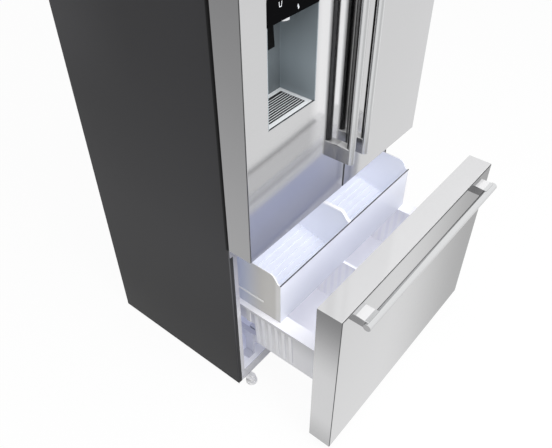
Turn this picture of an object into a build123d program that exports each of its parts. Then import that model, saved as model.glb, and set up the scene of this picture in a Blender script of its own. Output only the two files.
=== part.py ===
"""Bottom-freezer refrigerator with French doors, in millimetres.

+X is to the right as seen from the front, the front faces -Y, and the floor is z = 0. Depths named
d are measured back from the front plane of the case, so a negative depth lies in front of it.
The stored pose is the photographed one: both doors shut and the freezer drawer pulled out.
"""
from build123d import *
import os
from math import sqrt

os.makedirs("parts", exist_ok=True)

# ---------------------------------------------------------------- driving sizes
case_width = 900.0
case_depth = 618.0  # front plane to the outside of the rear panel
case_top = 1752.0  # above the floor
floor_gap = 28.0  # floor to the underside of the case
sheet = 1.2  # painted side panels
plate = 1.5  # flange, top and rear sheets
pan_sheet = 3.0  # base pan
liner_wall = 3.0

door_span = case_width + 8.0  # both doors together, and the drawer front
door_thickness = 84.0
door_gap = 6.0  # case front plane to the back of a shut door
centre_gap = 5.0  # between the two doors
door_bottom = 711.0
door_top = case_top - 4.0
drawer_bottom = 38.0
drawer_top = 690.0
skin = 1.5
edge_radius = 4.0  # bend along the edges of a steel door skin
rest_opening = 317.0  # how far the drawer stands open in the stored pose

mouth_half = case_width / 2 - 32.0  # half width of both compartments
fridge_floor = 735.0
fridge_ceiling = case_top - 35.0
fridge_depth = case_depth - 58.0
freezer_floor = 76.0
freezer_ceiling = 655.0
machine_front = case_depth - 190.0  # machine compartment
machine_top = 250.0
insulation = 40.0  # foam in front of and above the machine compartment
freezer_low_depth = machine_front - insulation
step_height = machine_top + insulation  # floor of the upper, deeper part of the freezer

handle_radius = 13.0
handle_reach = 42.0  # door front to the centre line of the tube
post_width = 30.0
post_length = 54.0
door_handle_x = 37.5  # centre line of a door handle, from the middle
door_handle_inset = 134.0  # tube end to the door's top or bottom edge
drawer_handle_half = door_span / 2 - 57.0
drawer_handle_drop = 41.0  # drawer top to the centre line of the tube
door_post_inset = 1.5  # end of a tube to its post
drawer_post_inset = 7.0

pivot_inset = 14.0  # door's outer side to the hinge pin
pivot_depth = 42.0  # door's back to the hinge pin
pin_radius = 6.0
pin_clearance = 0.05

# ---------------------------------------------------------------- derived places
front_reach = door_gap + rest_opening + door_thickness + handle_reach + handle_radius
front_y = (front_reach - case_depth) / 2
half_case = case_width / 2
half_span = door_span / 2
inner_half = half_case - sheet
pivot_x = half_span - pivot_inset
pivot_d = -door_gap - pivot_depth
door_front_d = -door_gap - door_thickness
drawer_back_d = -door_gap - rest_opening
drawer_front_d = drawer_back_d - door_thickness
SIDES = ((-1, "left"), (1, "right"))


def block(x0, x1, d0, d1, z0, z1, mode=Mode.ADD):
    """A box between two x values, two depths and two heights."""
    with Locations(((x0 + x1) / 2, front_y + (d0 + d1) / 2, (z0 + z1) / 2)):
        Box(abs(x1 - x0), abs(d1 - d0), abs(z1 - z0), mode=mode)


def upright(x, d, z0, z1, radius, mode=Mode.ADD):
    """A vertical cylinder from z0 to z1."""
    with Locations((x, front_y + d, (z0 + z1) / 2)):
        Cylinder(radius, z1 - z0, mode=mode)


def crosswise(x0, x1, d, z, radius, mode=Mode.ADD):
    """A cylinder along X."""
    with Locations(((x0 + x1) / 2, front_y + d, z)):
        Cylinder(radius, abs(x1 - x0), rotation=(0, 90, 0), mode=mode)


def lengthwise(x, d0, d1, z, radius, mode=Mode.ADD):
    """A cylinder along Y."""
    with Locations((x, front_y + (d0 + d1) / 2, z)):
        Cylinder(radius, abs(d1 - d0), rotation=(90, 0, 0), mode=mode)


def side_view(x):
    """A plane whose own x is depth, whose own y is height and whose normal is +X."""
    return Plane(origin=(x, front_y, 0), x_dir=(0, 1, 0), z_dir=(1, 0, 0))


def front_view(d):
    """A plane at depth d whose own x is X, whose own y is height and whose normal faces the front."""
    return Plane(origin=(0, front_y + d, 0), x_dir=(1, 0, 0), z_dir=(0, -1, 0))


# ================================================================ case
return_width = 15.0  # painted fold beside the flange
fold_radius = 6.0

for side, name in SIDES:
    with BuildPart() as side_panel:
        with BuildSketch(Plane.XY.offset(floor_gap)):
            with BuildLine():
                FilletPolyline(
                    (side * half_case, front_y + case_depth),
                    (side * half_case, front_y),
                    (side * (half_case - return_width), front_y),
                    radius=fold_radius,
                )
                offset(amount=sheet, side=Side.RIGHT if side > 0 else Side.LEFT)
            make_face()
        extrude(amount=case_top - floor_gap)
    side_panel.part.label = f"side_panel_{name}"
    export_step(side_panel.part, f"parts/side_panel_{name}.step")

with BuildPart() as top_panel:
    block(-inner_half, inner_half, plate, case_depth, case_top - plate, case_top)
    fillet(top_panel.edges().filter_by(Axis.Z).group_by(Axis.Y)[0], fold_radius)
top_panel.part.label = "top_panel"
export_step(top_panel.part, "parts/top_panel.step")

with BuildPart() as rear_panel:
    block(-inner_half, inner_half, case_depth - plate, case_depth, machine_top, case_top - plate)
rear_panel.part.label = "rear_panel"
export_step(rear_panel.part, "parts/rear_panel.step")

flange_half = half_case - return_width
with BuildPart() as front_flange:
    block(-flange_half, flange_half, 0, plate, floor_gap, case_top)
    block(-mouth_half, mouth_half, 0, plate, fridge_floor, fridge_ceiling, Mode.SUBTRACT)
    block(-mouth_half, mouth_half, 0, plate, freezer_floor, freezer_ceiling, Mode.SUBTRACT)
front_flange.part.label = "front_flange"
export_step(front_flange.part, "parts/front_flange.step")

corner_radius = 18.0  # inside corners of the liners
with BuildPart() as fridge_liner:
    block(-mouth_half, mouth_half, plate, fridge_depth, fridge_floor, fridge_ceiling)
    fillet(fridge_liner.edges().filter_by(Axis.Y), corner_radius / 3)
    fillet(fridge_liner.faces().sort_by(Axis.Y)[-1].edges(), corner_radius / 3)
    cavity = fridge_liner.part
with BuildPart() as fridge_liner:
    block(
        -mouth_half - liner_wall,
        mouth_half + liner_wall,
        plate,
        fridge_depth + liner_wall,
        fridge_floor - liner_wall,
        fridge_ceiling + liner_wall,
    )
    add(cavity, mode=Mode.SUBTRACT)
fridge_liner.part.label = "fridge_liner"
export_step(fridge_liner.part, "parts/fridge_liner.step")


def freezer_profile(wall):
    """Side view of the freezer compartment, grown by wall on every side but the front."""
    return (
        (plate, freezer_floor - wall),
        (freezer_low_depth + wall, freezer_floor - wall),
        (freezer_low_depth + wall, step_height - wall),
        (fridge_depth + wall, step_height - wall),
        (fridge_depth + wall, freezer_ceiling + wall),
        (plate, freezer_ceiling + wall),
    )


with BuildPart() as freezer_liner:
    with BuildSketch(side_view(-mouth_half - liner_wall)):
        Polygon(*freezer_profile(liner_wall), align=None)
    extrude(amount=2 * (mouth_half + liner_wall))
    with BuildSketch(side_view(-mouth_half)) as freezer_hollow:
        Polygon(*freezer_profile(0), align=None)
        fillet(freezer_hollow.vertices().filter_by(lambda v: v.X > plate + 1), corner_radius / 3)
    extrude(amount=2 * mouth_half, mode=Mode.SUBTRACT)
freezer_liner.part.label = "freezer_liner"
export_step(freezer_liner.part, "parts/freezer_liner.step")

with BuildPart() as cabinet_insulation:
    block(
        -inner_half,
        inner_half,
        plate,
        case_depth - plate,
        floor_gap + pan_sheet,
        case_top - plate,
    )
    fillet(cabinet_insulation.edges().filter_by(Axis.Z).group_by(Axis.Y)[0], fold_radius)
    block(
        -mouth_half - liner_wall,
        mouth_half + liner_wall,
        plate,
        fridge_depth + liner_wall,
        fridge_floor - liner_wall,
        fridge_ceiling + liner_wall,
        Mode.SUBTRACT,
    )
    with BuildSketch(side_view(-mouth_half - liner_wall)):
        Polygon(*freezer_profile(liner_wall), align=None)
    extrude(amount=2 * (mouth_half + liner_wall), mode=Mode.SUBTRACT)
    block(-half_case, half_case, machine_front, case_depth, 0, machine_top, Mode.SUBTRACT)
cabinet_insulation.part.label = "cabinet_insulation"
export_step(cabinet_insulation.part, "parts/cabinet_insulation.step")

# ---------------------------------------------------------------- base, feet and rollers
foot_x = half_case - 50.0
foot_d = -15.0
foot_radius = 21.0
foot_height = 10.0
stem_radius = 5.0
bracket_sheet = 4.0
bracket_half = 16.0
roller_radius = 20.0
roller_width = 20.0
roller_x = half_case - 50.0
roller_d = case_depth - 33.0
axle_radius = 4.0
ear_sheet = 3.0
ear_gap = 1.0  # between a roller's side and its ear

with BuildPart() as base_pan:
    block(-inner_half, inner_half, plate, case_depth - plate, floor_gap, floor_gap + pan_sheet)
    fillet(base_pan.edges().filter_by(Axis.Z).group_by(Axis.Y)[0], fold_radius)
    for side, _ in SIDES:
        # foot bracket with a round end, under the pan and out in front of the case
        block(
            side * foot_x - bracket_half,
            side * foot_x + bracket_half,
            foot_d,
            60,
            floor_gap - bracket_sheet,
            floor_gap,
        )
        upright(side * foot_x, foot_d, floor_gap - bracket_sheet, floor_gap, bracket_half)
        upright(
            side * foot_x,
            foot_d,
            floor_gap - bracket_sheet,
            floor_gap,
            stem_radius + pin_clearance,
            Mode.SUBTRACT,
        )
        # slot that the roller stands up through, with an ear on each side and an axle across
        half_slot = roller_width / 2 + ear_gap
        block(
            side * roller_x - half_slot,
            side * roller_x + half_slot,
            roller_d - roller_radius - 3,
            roller_d + roller_radius + 3,
            floor_gap,
            floor_gap + pan_sheet,
            Mode.SUBTRACT,
        )
        for cheek in (-1, 1):
            ear_x = side * roller_x + cheek * (half_slot + ear_sheet / 2)
            block(
                ear_x - ear_sheet / 2,
                ear_x + ear_sheet / 2,
                roller_d - 12,
                roller_d + 12,
                roller_radius - 8,
                floor_gap + pan_sheet,
            )
        crosswise(
            side * roller_x - half_slot - ear_sheet,
            side * roller_x + half_slot + ear_sheet,
            roller_d,
            roller_radius,
            axle_radius,
        )
base_pan.part.label = "base_pan"
export_step(base_pan.part, "parts/base_pan.step")

for side, name in SIDES:
    with BuildPart() as foot:
        upright(side * foot_x, foot_d, 0, foot_height, foot_radius)
        fillet(foot.edges().filter_by(GeomType.CIRCLE).sort_by(Axis.Z)[-1], 3)
        with BuildSketch(Plane.XY.offset(foot_height)):
            with Locations((side * foot_x, front_y + foot_d)):
                RegularPolygon(11, 6)
        extrude(amount=6)
        upright(side * foot_x, foot_d, foot_height, floor_gap + 6, stem_radius)
    foot.part.label = f"foot_{name}"
    export_step(foot.part, f"parts/foot_{name}.step")

for side, name in SIDES:
    with BuildPart() as roller:
        roller_left = side * roller_x - roller_width / 2
        crosswise(roller_left, roller_left + roller_width, roller_d, roller_radius, roller_radius)
        fillet(roller.edges().filter_by(GeomType.CIRCLE), 2)
        crosswise(
            roller_left,
            roller_left + roller_width,
            roller_d,
            roller_radius,
            axle_radius + pin_clearance,
            Mode.SUBTRACT,
        )
    roller.part.label = f"roller_{name}"
    export_step(roller.part, f"parts/roller_{name}.step")

# ---------------------------------------------------------------- hinges
hinge_sheet = 4.0
arm_half = 14.0
pin_engage = 20.0
hinge_cover_top = case_top + 26.0
plate_sheet = 2.5  # upright plate of a centre hinge
screw_radius = 3.0
screw_head_radius = 5.5
screw_head = 2.0
top_screw_depths = (40.0, 90.0)
centre_screw_z = door_bottom - 27.0

with BuildPart() as top_hinges:
    for side, _ in SIDES:
        block(
            side * (pivot_x - 40),
            side * (half_case - 3),
            pivot_d - arm_half,
            120,
            case_top,
            case_top + hinge_sheet,
        )
    fillet(top_hinges.edges().filter_by(Axis.Z), 8)
    for side, _ in SIDES:
        upright(side * pivot_x, pivot_d, door_top - pin_engage, case_top + hinge_sheet, pin_radius)
    for side, _ in SIDES:
        for d in top_screw_depths:
            upright(
                side * (half_case - 24), d, case_top, case_top + hinge_sheet, screw_radius, Mode.SUBTRACT
            )
top_hinges.part.label = "top_hinges"
export_step(top_hinges.part, "parts/top_hinges.step")

cover_half = 40.0
cover_wall = 2.5
cover_back = 132.0
with BuildPart() as hinge_covers:
    for side, _ in SIDES:
        cover_mid = side * (half_case - cover_half)
        block(
            cover_mid - cover_half,
            cover_mid + cover_half,
            pivot_d - arm_half - 6,
            cover_back,
            case_top,
            hinge_cover_top,
        )
    fillet(hinge_covers.edges().filter_by(Axis.Z), 12)
    fillet(hinge_covers.faces().filter_by(Axis.Z).group_by(Axis.Z)[-1].edges(), 5)
    cover_undersides = hinge_covers.faces().filter_by(Axis.Z).group_by(Axis.Z)[0]
    offset(amount=-cover_wall, openings=cover_undersides)
hinge_covers.part.label = "hinge_covers"
export_step(hinge_covers.part, "parts/hinge_covers.step")

centre_arm_z = door_bottom - 8.0
centre_plate_bottom = freezer_ceiling + 19.0
with BuildPart() as centre_hinges:
    for side, _ in SIDES:
        block(
            side * (half_case - 32),
            side * (half_case - 2),
            -plate_sheet,
            0,
            centre_plate_bottom,
            centre_arm_z + hinge_sheet,
        )
        block(
            side * (pivot_x - arm_half),
            side * (half_case - 2),
            pivot_d - arm_half,
            0,
            centre_arm_z,
            centre_arm_z + hinge_sheet,
        )
        upright(side * pivot_x, pivot_d, centre_arm_z, door_bottom + pin_engage, pin_radius)
        lengthwise(
            side * (half_case - 24), -plate_sheet, 0, centre_screw_z, screw_radius, Mode.SUBTRACT
        )
centre_hinges.part.label = "centre_hinges"
export_step(centre_hinges.part, "parts/centre_hinges.step")

with BuildPart() as screws:
    for side, _ in SIDES:
        for d in top_screw_depths:
            upright(side * (half_case - 24), d, case_top, case_top + hinge_sheet, screw_radius)
            upright(
                side * (half_case - 24),
                d,
                case_top + hinge_sheet,
                case_top + hinge_sheet + screw_head,
                screw_head_radius,
            )
        lengthwise(side * (half_case - 24), -plate_sheet, 0, centre_screw_z, screw_radius)
        lengthwise(
            side * (half_case - 24),
            -plate_sheet - screw_head,
            -plate_sheet,
            centre_screw_z,
            screw_head_radius,
        )
screws.part.label = "screws"
export_step(screws.part, "parts/screws.step")

# ---------------------------------------------------------------- machine compartment
pan_top = floor_gap + pan_sheet
compressor_x = 130.0 - roller_x
compressor_d = case_depth - 96.0
compressor_radius = 76.0
mount_height = 14.0

with BuildPart() as compressor:
    upright(compressor_x, compressor_d, pan_top + mount_height + 4, pan_top + 160, compressor_radius)
    fillet(compressor.edges().filter_by(GeomType.CIRCLE), 30)
    block(
        compressor_x - 105,
        compressor_x + 105,
        compressor_d - 62,
        compressor_d + 62,
        pan_top + mount_height,
        pan_top + mount_height + 4,
    )
    block(
        compressor_x - 40,
        compressor_x + 40,
        compressor_d - 40,
        compressor_d + 40,
        pan_top + mount_height + 4,
        pan_top + mount_height + 10,
    )
    for dx in (-92, 92):
        for dd in (-50, 50):
            upright(compressor_x + dx, compressor_d + dd, pan_top, pan_top + mount_height, 12)
    crosswise(compressor_x + compressor_radius - 4, compressor_x + 96, compressor_d, pan_top + 90, 5)
compressor.part.label = "compressor"
export_step(compressor.part, "parts/compressor.step")

fan_x = 20.0
fan_d = compressor_d
fan_z = 140.0
fan_ring_depth = 26.0
fan_hole = 76.0
fan_tip = 71.0
hub_radius = 20.0
shaft_radius = 3.0
motor_radius = 24.0

with BuildPart() as condenser_fan_housing:
    block(fan_x, fan_x + fan_ring_depth, fan_d - 88, fan_d + 88, pan_top, fan_z + 92)
    crosswise(fan_x, fan_x + fan_ring_depth, fan_d, fan_z, fan_hole, Mode.SUBTRACT)
    arm_x = fan_x + fan_ring_depth
    block(arm_x, arm_x + 5, fan_d - 84, fan_d + 84, fan_z - 6, fan_z + 6)
    block(arm_x, arm_x + 5, fan_d - 6, fan_d + 6, fan_z - 84, fan_z + 84)
    crosswise(arm_x, arm_x + 34, fan_d, fan_z, motor_radius)
    crosswise(fan_x + 2, arm_x, fan_d, fan_z, shaft_radius)
condenser_fan_housing.part.label = "condenser_fan_housing"
export_step(condenser_fan_housing.part, "parts/condenser_fan_housing.step")

blade_count = 5
with BuildPart() as condenser_fan:
    crosswise(fan_x + 4, fan_x + fan_ring_depth - 2, fan_d, fan_z, hub_radius)
    fan_middle = fan_x + fan_ring_depth / 2 + 1
    with Locations(Plane(origin=(fan_middle, front_y + fan_d, fan_z), x_dir=(0, 1, 0), z_dir=(1, 0, 0))):
        with PolarLocations((hub_radius + fan_tip) / 2 - 1, blade_count):
            Box(fan_tip - hub_radius + 2, 34, 2, rotation=(28, 0, 0))
    crosswise(
        fan_x, fan_x + fan_ring_depth, fan_d, fan_z, shaft_radius + pin_clearance, Mode.SUBTRACT
    )
condenser_fan.part.label = "condenser_fan"
export_step(condenser_fan.part, "parts/condenser_fan.step")

coil_left = 110.0
coil_right = half_case - 30.0
coil_bottom = 50.0
coil_pitch = 26.0
coil_rows = 8
coil_tube = 4.0
coil_d = case_depth - 128.0
with BuildPart() as condenser_coil:
    for row in range(coil_rows):
        crosswise(coil_left, coil_right, coil_d, coil_bottom + row * coil_pitch, coil_tube)
    for row in range(coil_rows - 1):
        bend_x = coil_right if row % 2 == 0 else coil_left
        turn = 1 if row % 2 == 0 else -1
        middle = coil_bottom + (row + 0.5) * coil_pitch
        with BuildSketch(Plane(origin=(bend_x, front_y + coil_d, middle), x_dir=(0, 1, 0), z_dir=(1, 0, 0))):
            with Locations((0, -coil_pitch / 2)):
                Circle(coil_tube)
        revolve(
            axis=Axis((bend_x, front_y + coil_d, middle), (0, -1, 0)),
            revolution_arc=180 * turn,
        )
    for fin in range(9):
        fin_x = coil_left + 20 + fin * (coil_right - coil_left - 40) / 8
        block(
            fin_x - 0.8,
            fin_x + 0.8,
            coil_d - 25,
            coil_d + 25,
            pan_top,
            coil_bottom + (coil_rows - 1) * coil_pitch,
        )
condenser_coil.part.label = "condenser_coil"
export_step(condenser_coil.part, "parts/condenser_coil.step")

with BuildPart() as drain_pan:
    pan_right = roller_x - 30.0
    pan_back = case_depth - 13.0
    block(130, pan_right, pan_back - 65, pan_back, pan_top, pan_top + 40)
    block(133, pan_right - 3, pan_back - 62, pan_back - 3, pan_top + 3, pan_top + 40, Mode.SUBTRACT)
drain_pan.part.label = "drain_pan"
export_step(drain_pan.part, "parts/drain_pan.step")

cover_back_d = case_depth - plate
inlet_x = half_case - 35.0
inlet_z = 200.0
socket_x = -half_case + 38.0
socket_z = 200.0
slot_rows = 9
with BuildPart() as machine_cover:
    block(-inner_half, inner_half, cover_back_d, case_depth, floor_gap, machine_top)
    with Locations(front_view(case_depth)):
        with Locations((0, 138)):
            with GridLocations(250, 16, 3, slot_rows):
                Box(180, 6, 4 * plate, mode=Mode.SUBTRACT)
    lengthwise(inlet_x, cover_back_d, case_depth, inlet_z, 20, Mode.SUBTRACT)
    block(socket_x - 17, socket_x + 17, cover_back_d, case_depth, socket_z - 14, socket_z + 14, Mode.SUBTRACT)
machine_cover.part.label = "machine_cover"
export_step(machine_cover.part, "parts/machine_cover.step")

inlet_radius = 12.0
inlet_length = 24.0
with BuildPart() as water_valve:
    block(inlet_x - 24, inlet_x + 24, case_depth - 58, case_depth - 24, inlet_z - 22, inlet_z + 22)
    block(inlet_x - 24, inlet_x + 24, case_depth - 58, case_depth - 55, inlet_z + 22, machine_top)
    lengthwise(inlet_x, case_depth - 24, case_depth - 24 + inlet_length, inlet_z, inlet_radius)
    for dx in (-11, 11):
        upright(inlet_x + dx, case_depth - 41, inlet_z - 60, inlet_z - 22, 10)
water_valve.part.label = "water_valve"
export_step(water_valve.part, "parts/water_valve.step")

with BuildPart() as power_inlet:
    block(socket_x - 16.5, socket_x + 16.5, case_depth - 30, case_depth, socket_z - 13.5, socket_z + 13.5)
    block(socket_x - 22, socket_x + 22, case_depth - 30, cover_back_d, socket_z - 20, socket_z + 20)
    block(socket_x - 13, socket_x + 13, case_depth - 20, case_depth, socket_z - 10, socket_z + 10, Mode.SUBTRACT)
    for dx in (-7, 0, 7):
        pin_z = socket_z + (3 if dx == 0 else -3)
        block(socket_x + dx - 1, socket_x + dx + 1, case_depth - 21, case_depth - 4, pin_z - 2.5, pin_z + 2.5)
power_inlet.part.label = "power_inlet"
export_step(power_inlet.part, "parts/power_inlet.step")

# ---------------------------------------------------------------- evaporator
duct_d = fridge_depth - 52.0
duct_sheet = 3.0
evap_fan_z = freezer_ceiling - 95.0
evap_hole = 58.0
evap_tip = 54.0

with BuildPart() as evaporator_cover:
    block(-mouth_half, mouth_half, duct_d, duct_d + duct_sheet, step_height, freezer_ceiling)
    fillet(evaporator_cover.edges().filter_by(Axis.Y), corner_radius / 3 + 0.2)
    lengthwise(0, duct_d, duct_d + duct_sheet, evap_fan_z, evap_hole, Mode.SUBTRACT)
    with Locations(front_view(duct_d)):
        with Locations((0, step_height + 40)):
            with GridLocations(130, 14, 5, 3):
                Box(100, 6, 4 * duct_sheet, mode=Mode.SUBTRACT)
        for column in (-260, 260):
            with Locations((column, evap_fan_z)):
                with GridLocations(0, 14, 1, 4):
                    Box(150, 6, 4 * duct_sheet, mode=Mode.SUBTRACT)
    # guard bars across the fan opening, and the motor on them
    block(-evap_hole - 4, evap_hole + 4, duct_d, duct_d + duct_sheet, evap_fan_z - 4, evap_fan_z + 4)
    block(-4, 4, duct_d, duct_d + duct_sheet, evap_fan_z - evap_hole - 4, evap_fan_z + evap_hole + 4)
    lengthwise(0, duct_d + duct_sheet, duct_d + duct_sheet + 6, evap_fan_z, motor_radius)
    lengthwise(0, duct_d + duct_sheet, duct_d + 34, evap_fan_z, shaft_radius)
evaporator_cover.part.label = "evaporator_cover"
export_step(evaporator_cover.part, "parts/evaporator_cover.step")

with BuildPart() as evaporator_fan:
    lengthwise(0, duct_d + 12, duct_d + 32, evap_fan_z, hub_radius)
    with Locations(Plane(origin=(0, front_y + duct_d + 22, evap_fan_z), x_dir=(1, 0, 0), z_dir=(0, -1, 0))):
        with PolarLocations((hub_radius + evap_tip) / 2 - 1, blade_count):
            Box(evap_tip - hub_radius + 2, 26, 2, rotation=(28, 0, 0))
    lengthwise(0, duct_d + 10, duct_d + 34, evap_fan_z, shaft_radius + pin_clearance, Mode.SUBTRACT)
evaporator_fan.part.label = "evaporator_fan"
export_step(evaporator_fan.part, "parts/evaporator_fan.step")

evap_half = mouth_half - 88.0
evap_rows = 4
with BuildPart() as evaporator:
    for fin in range(25):
        fin_x = -evap_half + 30 + fin * (2 * evap_half - 60) / 24
        block(fin_x - 0.6, fin_x + 0.6, duct_d + 8, fridge_depth, step_height + 12, step_height + 150)
    for row in range(evap_rows):
        for column in (0, 1):
            crosswise(
                -evap_half, evap_half, duct_d + 20 + 20 * column, step_height + 30 + 34 * row, 5
            )
    for cheek in (-1, 1):
        block(
            cheek * evap_half - 2,
            cheek * evap_half + 2,
            duct_d + 8,
            fridge_depth,
            step_height + 6,
            step_height + 156,
        )
evaporator.part.label = "evaporator"
export_step(evaporator.part, "parts/evaporator.step")

# ---------------------------------------------------------------- inside the fridge compartment
shelf_front = 128.0
glass = 4.0
rim = 12.0  # height of a shelf's plastic edging
rim_width = 14.0
side_room = 6.0
half_shelves = ((-1, 1480.0), (-1, 1230.0), (1, 1400.0), (1, 1160.0))
crisper_cover_z = 975.0


def shelf_span(side):
    """X limits of a shelf on one side, or of the full-width one for side 0."""
    low = -mouth_half + side_room if side <= 0 else side_room / 2
    high = mouth_half - side_room if side >= 0 else -side_room / 2
    return low, high


shelf_places = half_shelves + ((0, crisper_cover_z),)

with BuildPart() as shelf_frames:
    for side, z in shelf_places:
        low, high = shelf_span(side)
        block(low, high, shelf_front, fridge_depth, z - rim, z)
        block(
            low + rim_width,
            high - rim_width,
            shelf_front + rim_width,
            fridge_depth - rim_width,
            z - rim,
            z,
            Mode.SUBTRACT,
        )
        block(low + 6, high - 6, shelf_front + 6, fridge_depth - 6, z - glass, z, Mode.SUBTRACT)
shelf_frames.part.label = "shelf_frames"
export_step(shelf_frames.part, "parts/shelf_frames.step")

with BuildPart() as shelf_glass:
    for side, z in shelf_places:
        low, high = shelf_span(side)
        block(low + 6, high - 6, shelf_front + 6, fridge_depth - 6, z - glass, z)
shelf_glass.part.label = "shelf_glass"
export_step(shelf_glass.part, "parts/shelf_glass.step")

bin_wall = 3.0
crisper_back = fridge_depth - 20.0
crisper_top = crisper_cover_z - rim - 6.0
crisper_base = fridge_floor + 0.3
for side, name in SIDES:
    with BuildPart() as crisper:
        inner_edge = side * 8.0
        outer_edge = side * (mouth_half - 10.0)
        block(inner_edge, outer_edge, shelf_front + 6, crisper_back, crisper_base, crisper_top)
        fillet(crisper.edges().filter_by(Axis.Z), 14)
        fillet(crisper.faces().sort_by(Axis.Z)[0].edges(), 8)
        offset(amount=-bin_wall, openings=crisper.faces().sort_by(Axis.Z)[-1])
        # grip along the top of the front wall
        block(
            side * 60.0,
            side * (mouth_half - 60.0),
            shelf_front - 8,
            shelf_front + 6 + bin_wall,
            crisper_top - 26,
            crisper_top - 20,
        )
        block(
            side * 60.0,
            side * (mouth_half - 60.0),
            shelf_front - 8,
            shelf_front - 5,
            crisper_top - 44,
            crisper_top - 20,
        )
    crisper.part.label = f"crisper_{name}"
    export_step(crisper.part, f"parts/crisper_{name}.step")

with BuildPart() as ceiling_lamp:
    block(-150, 150, 190, 270, fridge_ceiling - 10, fridge_ceiling)
    fillet(ceiling_lamp.faces().sort_by(Axis.Z)[0].edges(), 5)
ceiling_lamp.part.label = "ceiling_lamp"
export_step(ceiling_lamp.part, "parts/ceiling_lamp.step")

# ---------------------------------------------------------------- drawer rails
rail_x = mouth_half - 80.0  # outer side of the fixed channel
rail_bottom = freezer_floor + 67.0
rail_height = 45.0
rail_front = 5.0
rail_length = freezer_low_depth - rail_front - 8.0
drawer_member_front = 4.0  # behind the drawer front's back plane
bead = 2.0  # sheet of the rail members
gap = 0.5  # sliding gap between them


def rail_member(inset, depth0, depth1, width):
    """C-section members for both sides, open towards the middle, inset from the fixed channel."""
    for side, _ in SIDES:
        outer = side * (rail_x - inset)
        inner = side * (rail_x - inset - width)
        low = rail_bottom + inset
        high = rail_bottom + rail_height - inset
        block(outer, inner, depth0, depth1, low, high)
        block(
            outer - side * bead,
            inner - side * bead,
            depth0,
            depth1,
            low + bead,
            high - bead,
            Mode.SUBTRACT,
        )


nest = bead + gap
with BuildPart() as fixed_rails:
    rail_member(0, rail_front, rail_front + rail_length, 16)
    for side, _ in SIDES:
        for d in (rail_front + 35.0, rail_front + rail_length - 50.0):
            block(
                side * rail_x,
                side * (rail_x + 4),
                d - 20,
                d + 20,
                freezer_floor,
                rail_bottom + rail_height,
            )
            block(
                side * rail_x,
                side * (rail_x + 34),
                d - 20,
                d + 20,
                freezer_floor,
                freezer_floor + 4,
            )
fixed_rails.part.label = "fixed_rails"
export_step(fixed_rails.part, "parts/fixed_rails.step")

middle_front = rail_front + 3 - rest_opening / 2
with BuildPart() as middle_rails:
    rail_member(nest, middle_front, middle_front + rail_length, 14)
    # strip under the basket that keeps the two members in step
    tie_half = rail_x - nest - 13.5
    block(
        -tie_half,
        tie_half,
        middle_front + rail_length - 75,
        middle_front + rail_length - 55,
        rail_bottom + nest,
        rail_bottom + nest + bead,
    )
middle_rails.part.label = "middle_rails"
export_step(middle_rails.part, "parts/middle_rails.step")

basket_base = rail_bottom + rail_height + 6.0
member_front = drawer_back_d + drawer_member_front
with BuildPart() as drawer_rails:
    rail_member(2 * nest, member_front, member_front + rail_length, 14)
    for side, _ in SIDES:
        web = side * (rail_x - 2 * nest - 14)
        block(
            web,
            web - side * bead,
            member_front,
            member_front + rail_length,
            rail_bottom + 2 * nest,
            basket_base - 0.3,
        )
        block(
            web,
            web - side * 24,
            member_front,
            member_front + rail_length,
            basket_base - 0.3 - bead,
            basket_base - 0.3,
        )
        # foot that is screwed to the back of the drawer front
        block(
            web,
            web - side * 34,
            drawer_back_d,
            member_front + bead,
            rail_bottom + 2 * nest,
            basket_base - 0.3,
        )
drawer_rails.part.label = "drawer_rails"
export_step(drawer_rails.part, "parts/drawer_rails.step")

# ================================================================ doors
gasket_width = 16.0
gasket_clearance = 0.4
dyke_reach = 50.0  # how far a liner's rim stands into the compartment
dyke_width = 24.0
dyke_outer = mouth_half - 13.0
dyke_inner = 36.0
dyke_bottom = fridge_floor + 12.0
dyke_top = fridge_ceiling - 12.0
door_inner = centre_gap / 2
bin_reach = 105.0
bin_height = 95.0
bin_heights = {-1: (774.0, 935.0, 1500.0), 1: (774.0, 1090.0, 1420.0)}

# dispenser, in the left door
dispenser_left = -half_span + 86.0
dispenser_right = dispenser_left + 193.0
niche_bottom = door_bottom + 396.0
niche_top = niche_bottom + 264.0
panel_top = niche_top + 62.0
panel_sheet = 6.0
niche_depth = 120.0
housing_wall = 2.5
dispenser_mid = (dispenser_left + dispenser_right) / 2
niche_back_d = door_front_d + niche_depth
housing_bottom = niche_bottom - 12.0
grille_height = 8.0
bulge_margin = 14.0  # foam round the niche, on the inside of the door


# centre flap, hinged to the inner side of the left door's rim
knuckle = 5.0
flap_pin = 2.5
flap_width = 54.0
ear_height = 5.0
flap_x = -dyke_inner + knuckle + 0.3
flap_d = knuckle + 1.5
flap_low = dyke_bottom + ear_height + 1.0
flap_high = dyke_top - ear_height - 1.0


def ring(x0, x1, d0, d1, z0, z1, width):
    """A rectangular frame of the given width, just inside the rectangle x0..x1, z0..z1."""
    inner_x = width if x1 > x0 else -width
    block(x0, x1, d0, d1, z0, z1)
    block(x0 + inner_x, x1 - inner_x, d0, d1, z0 + width, z1 - width, Mode.SUBTRACT)


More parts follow.
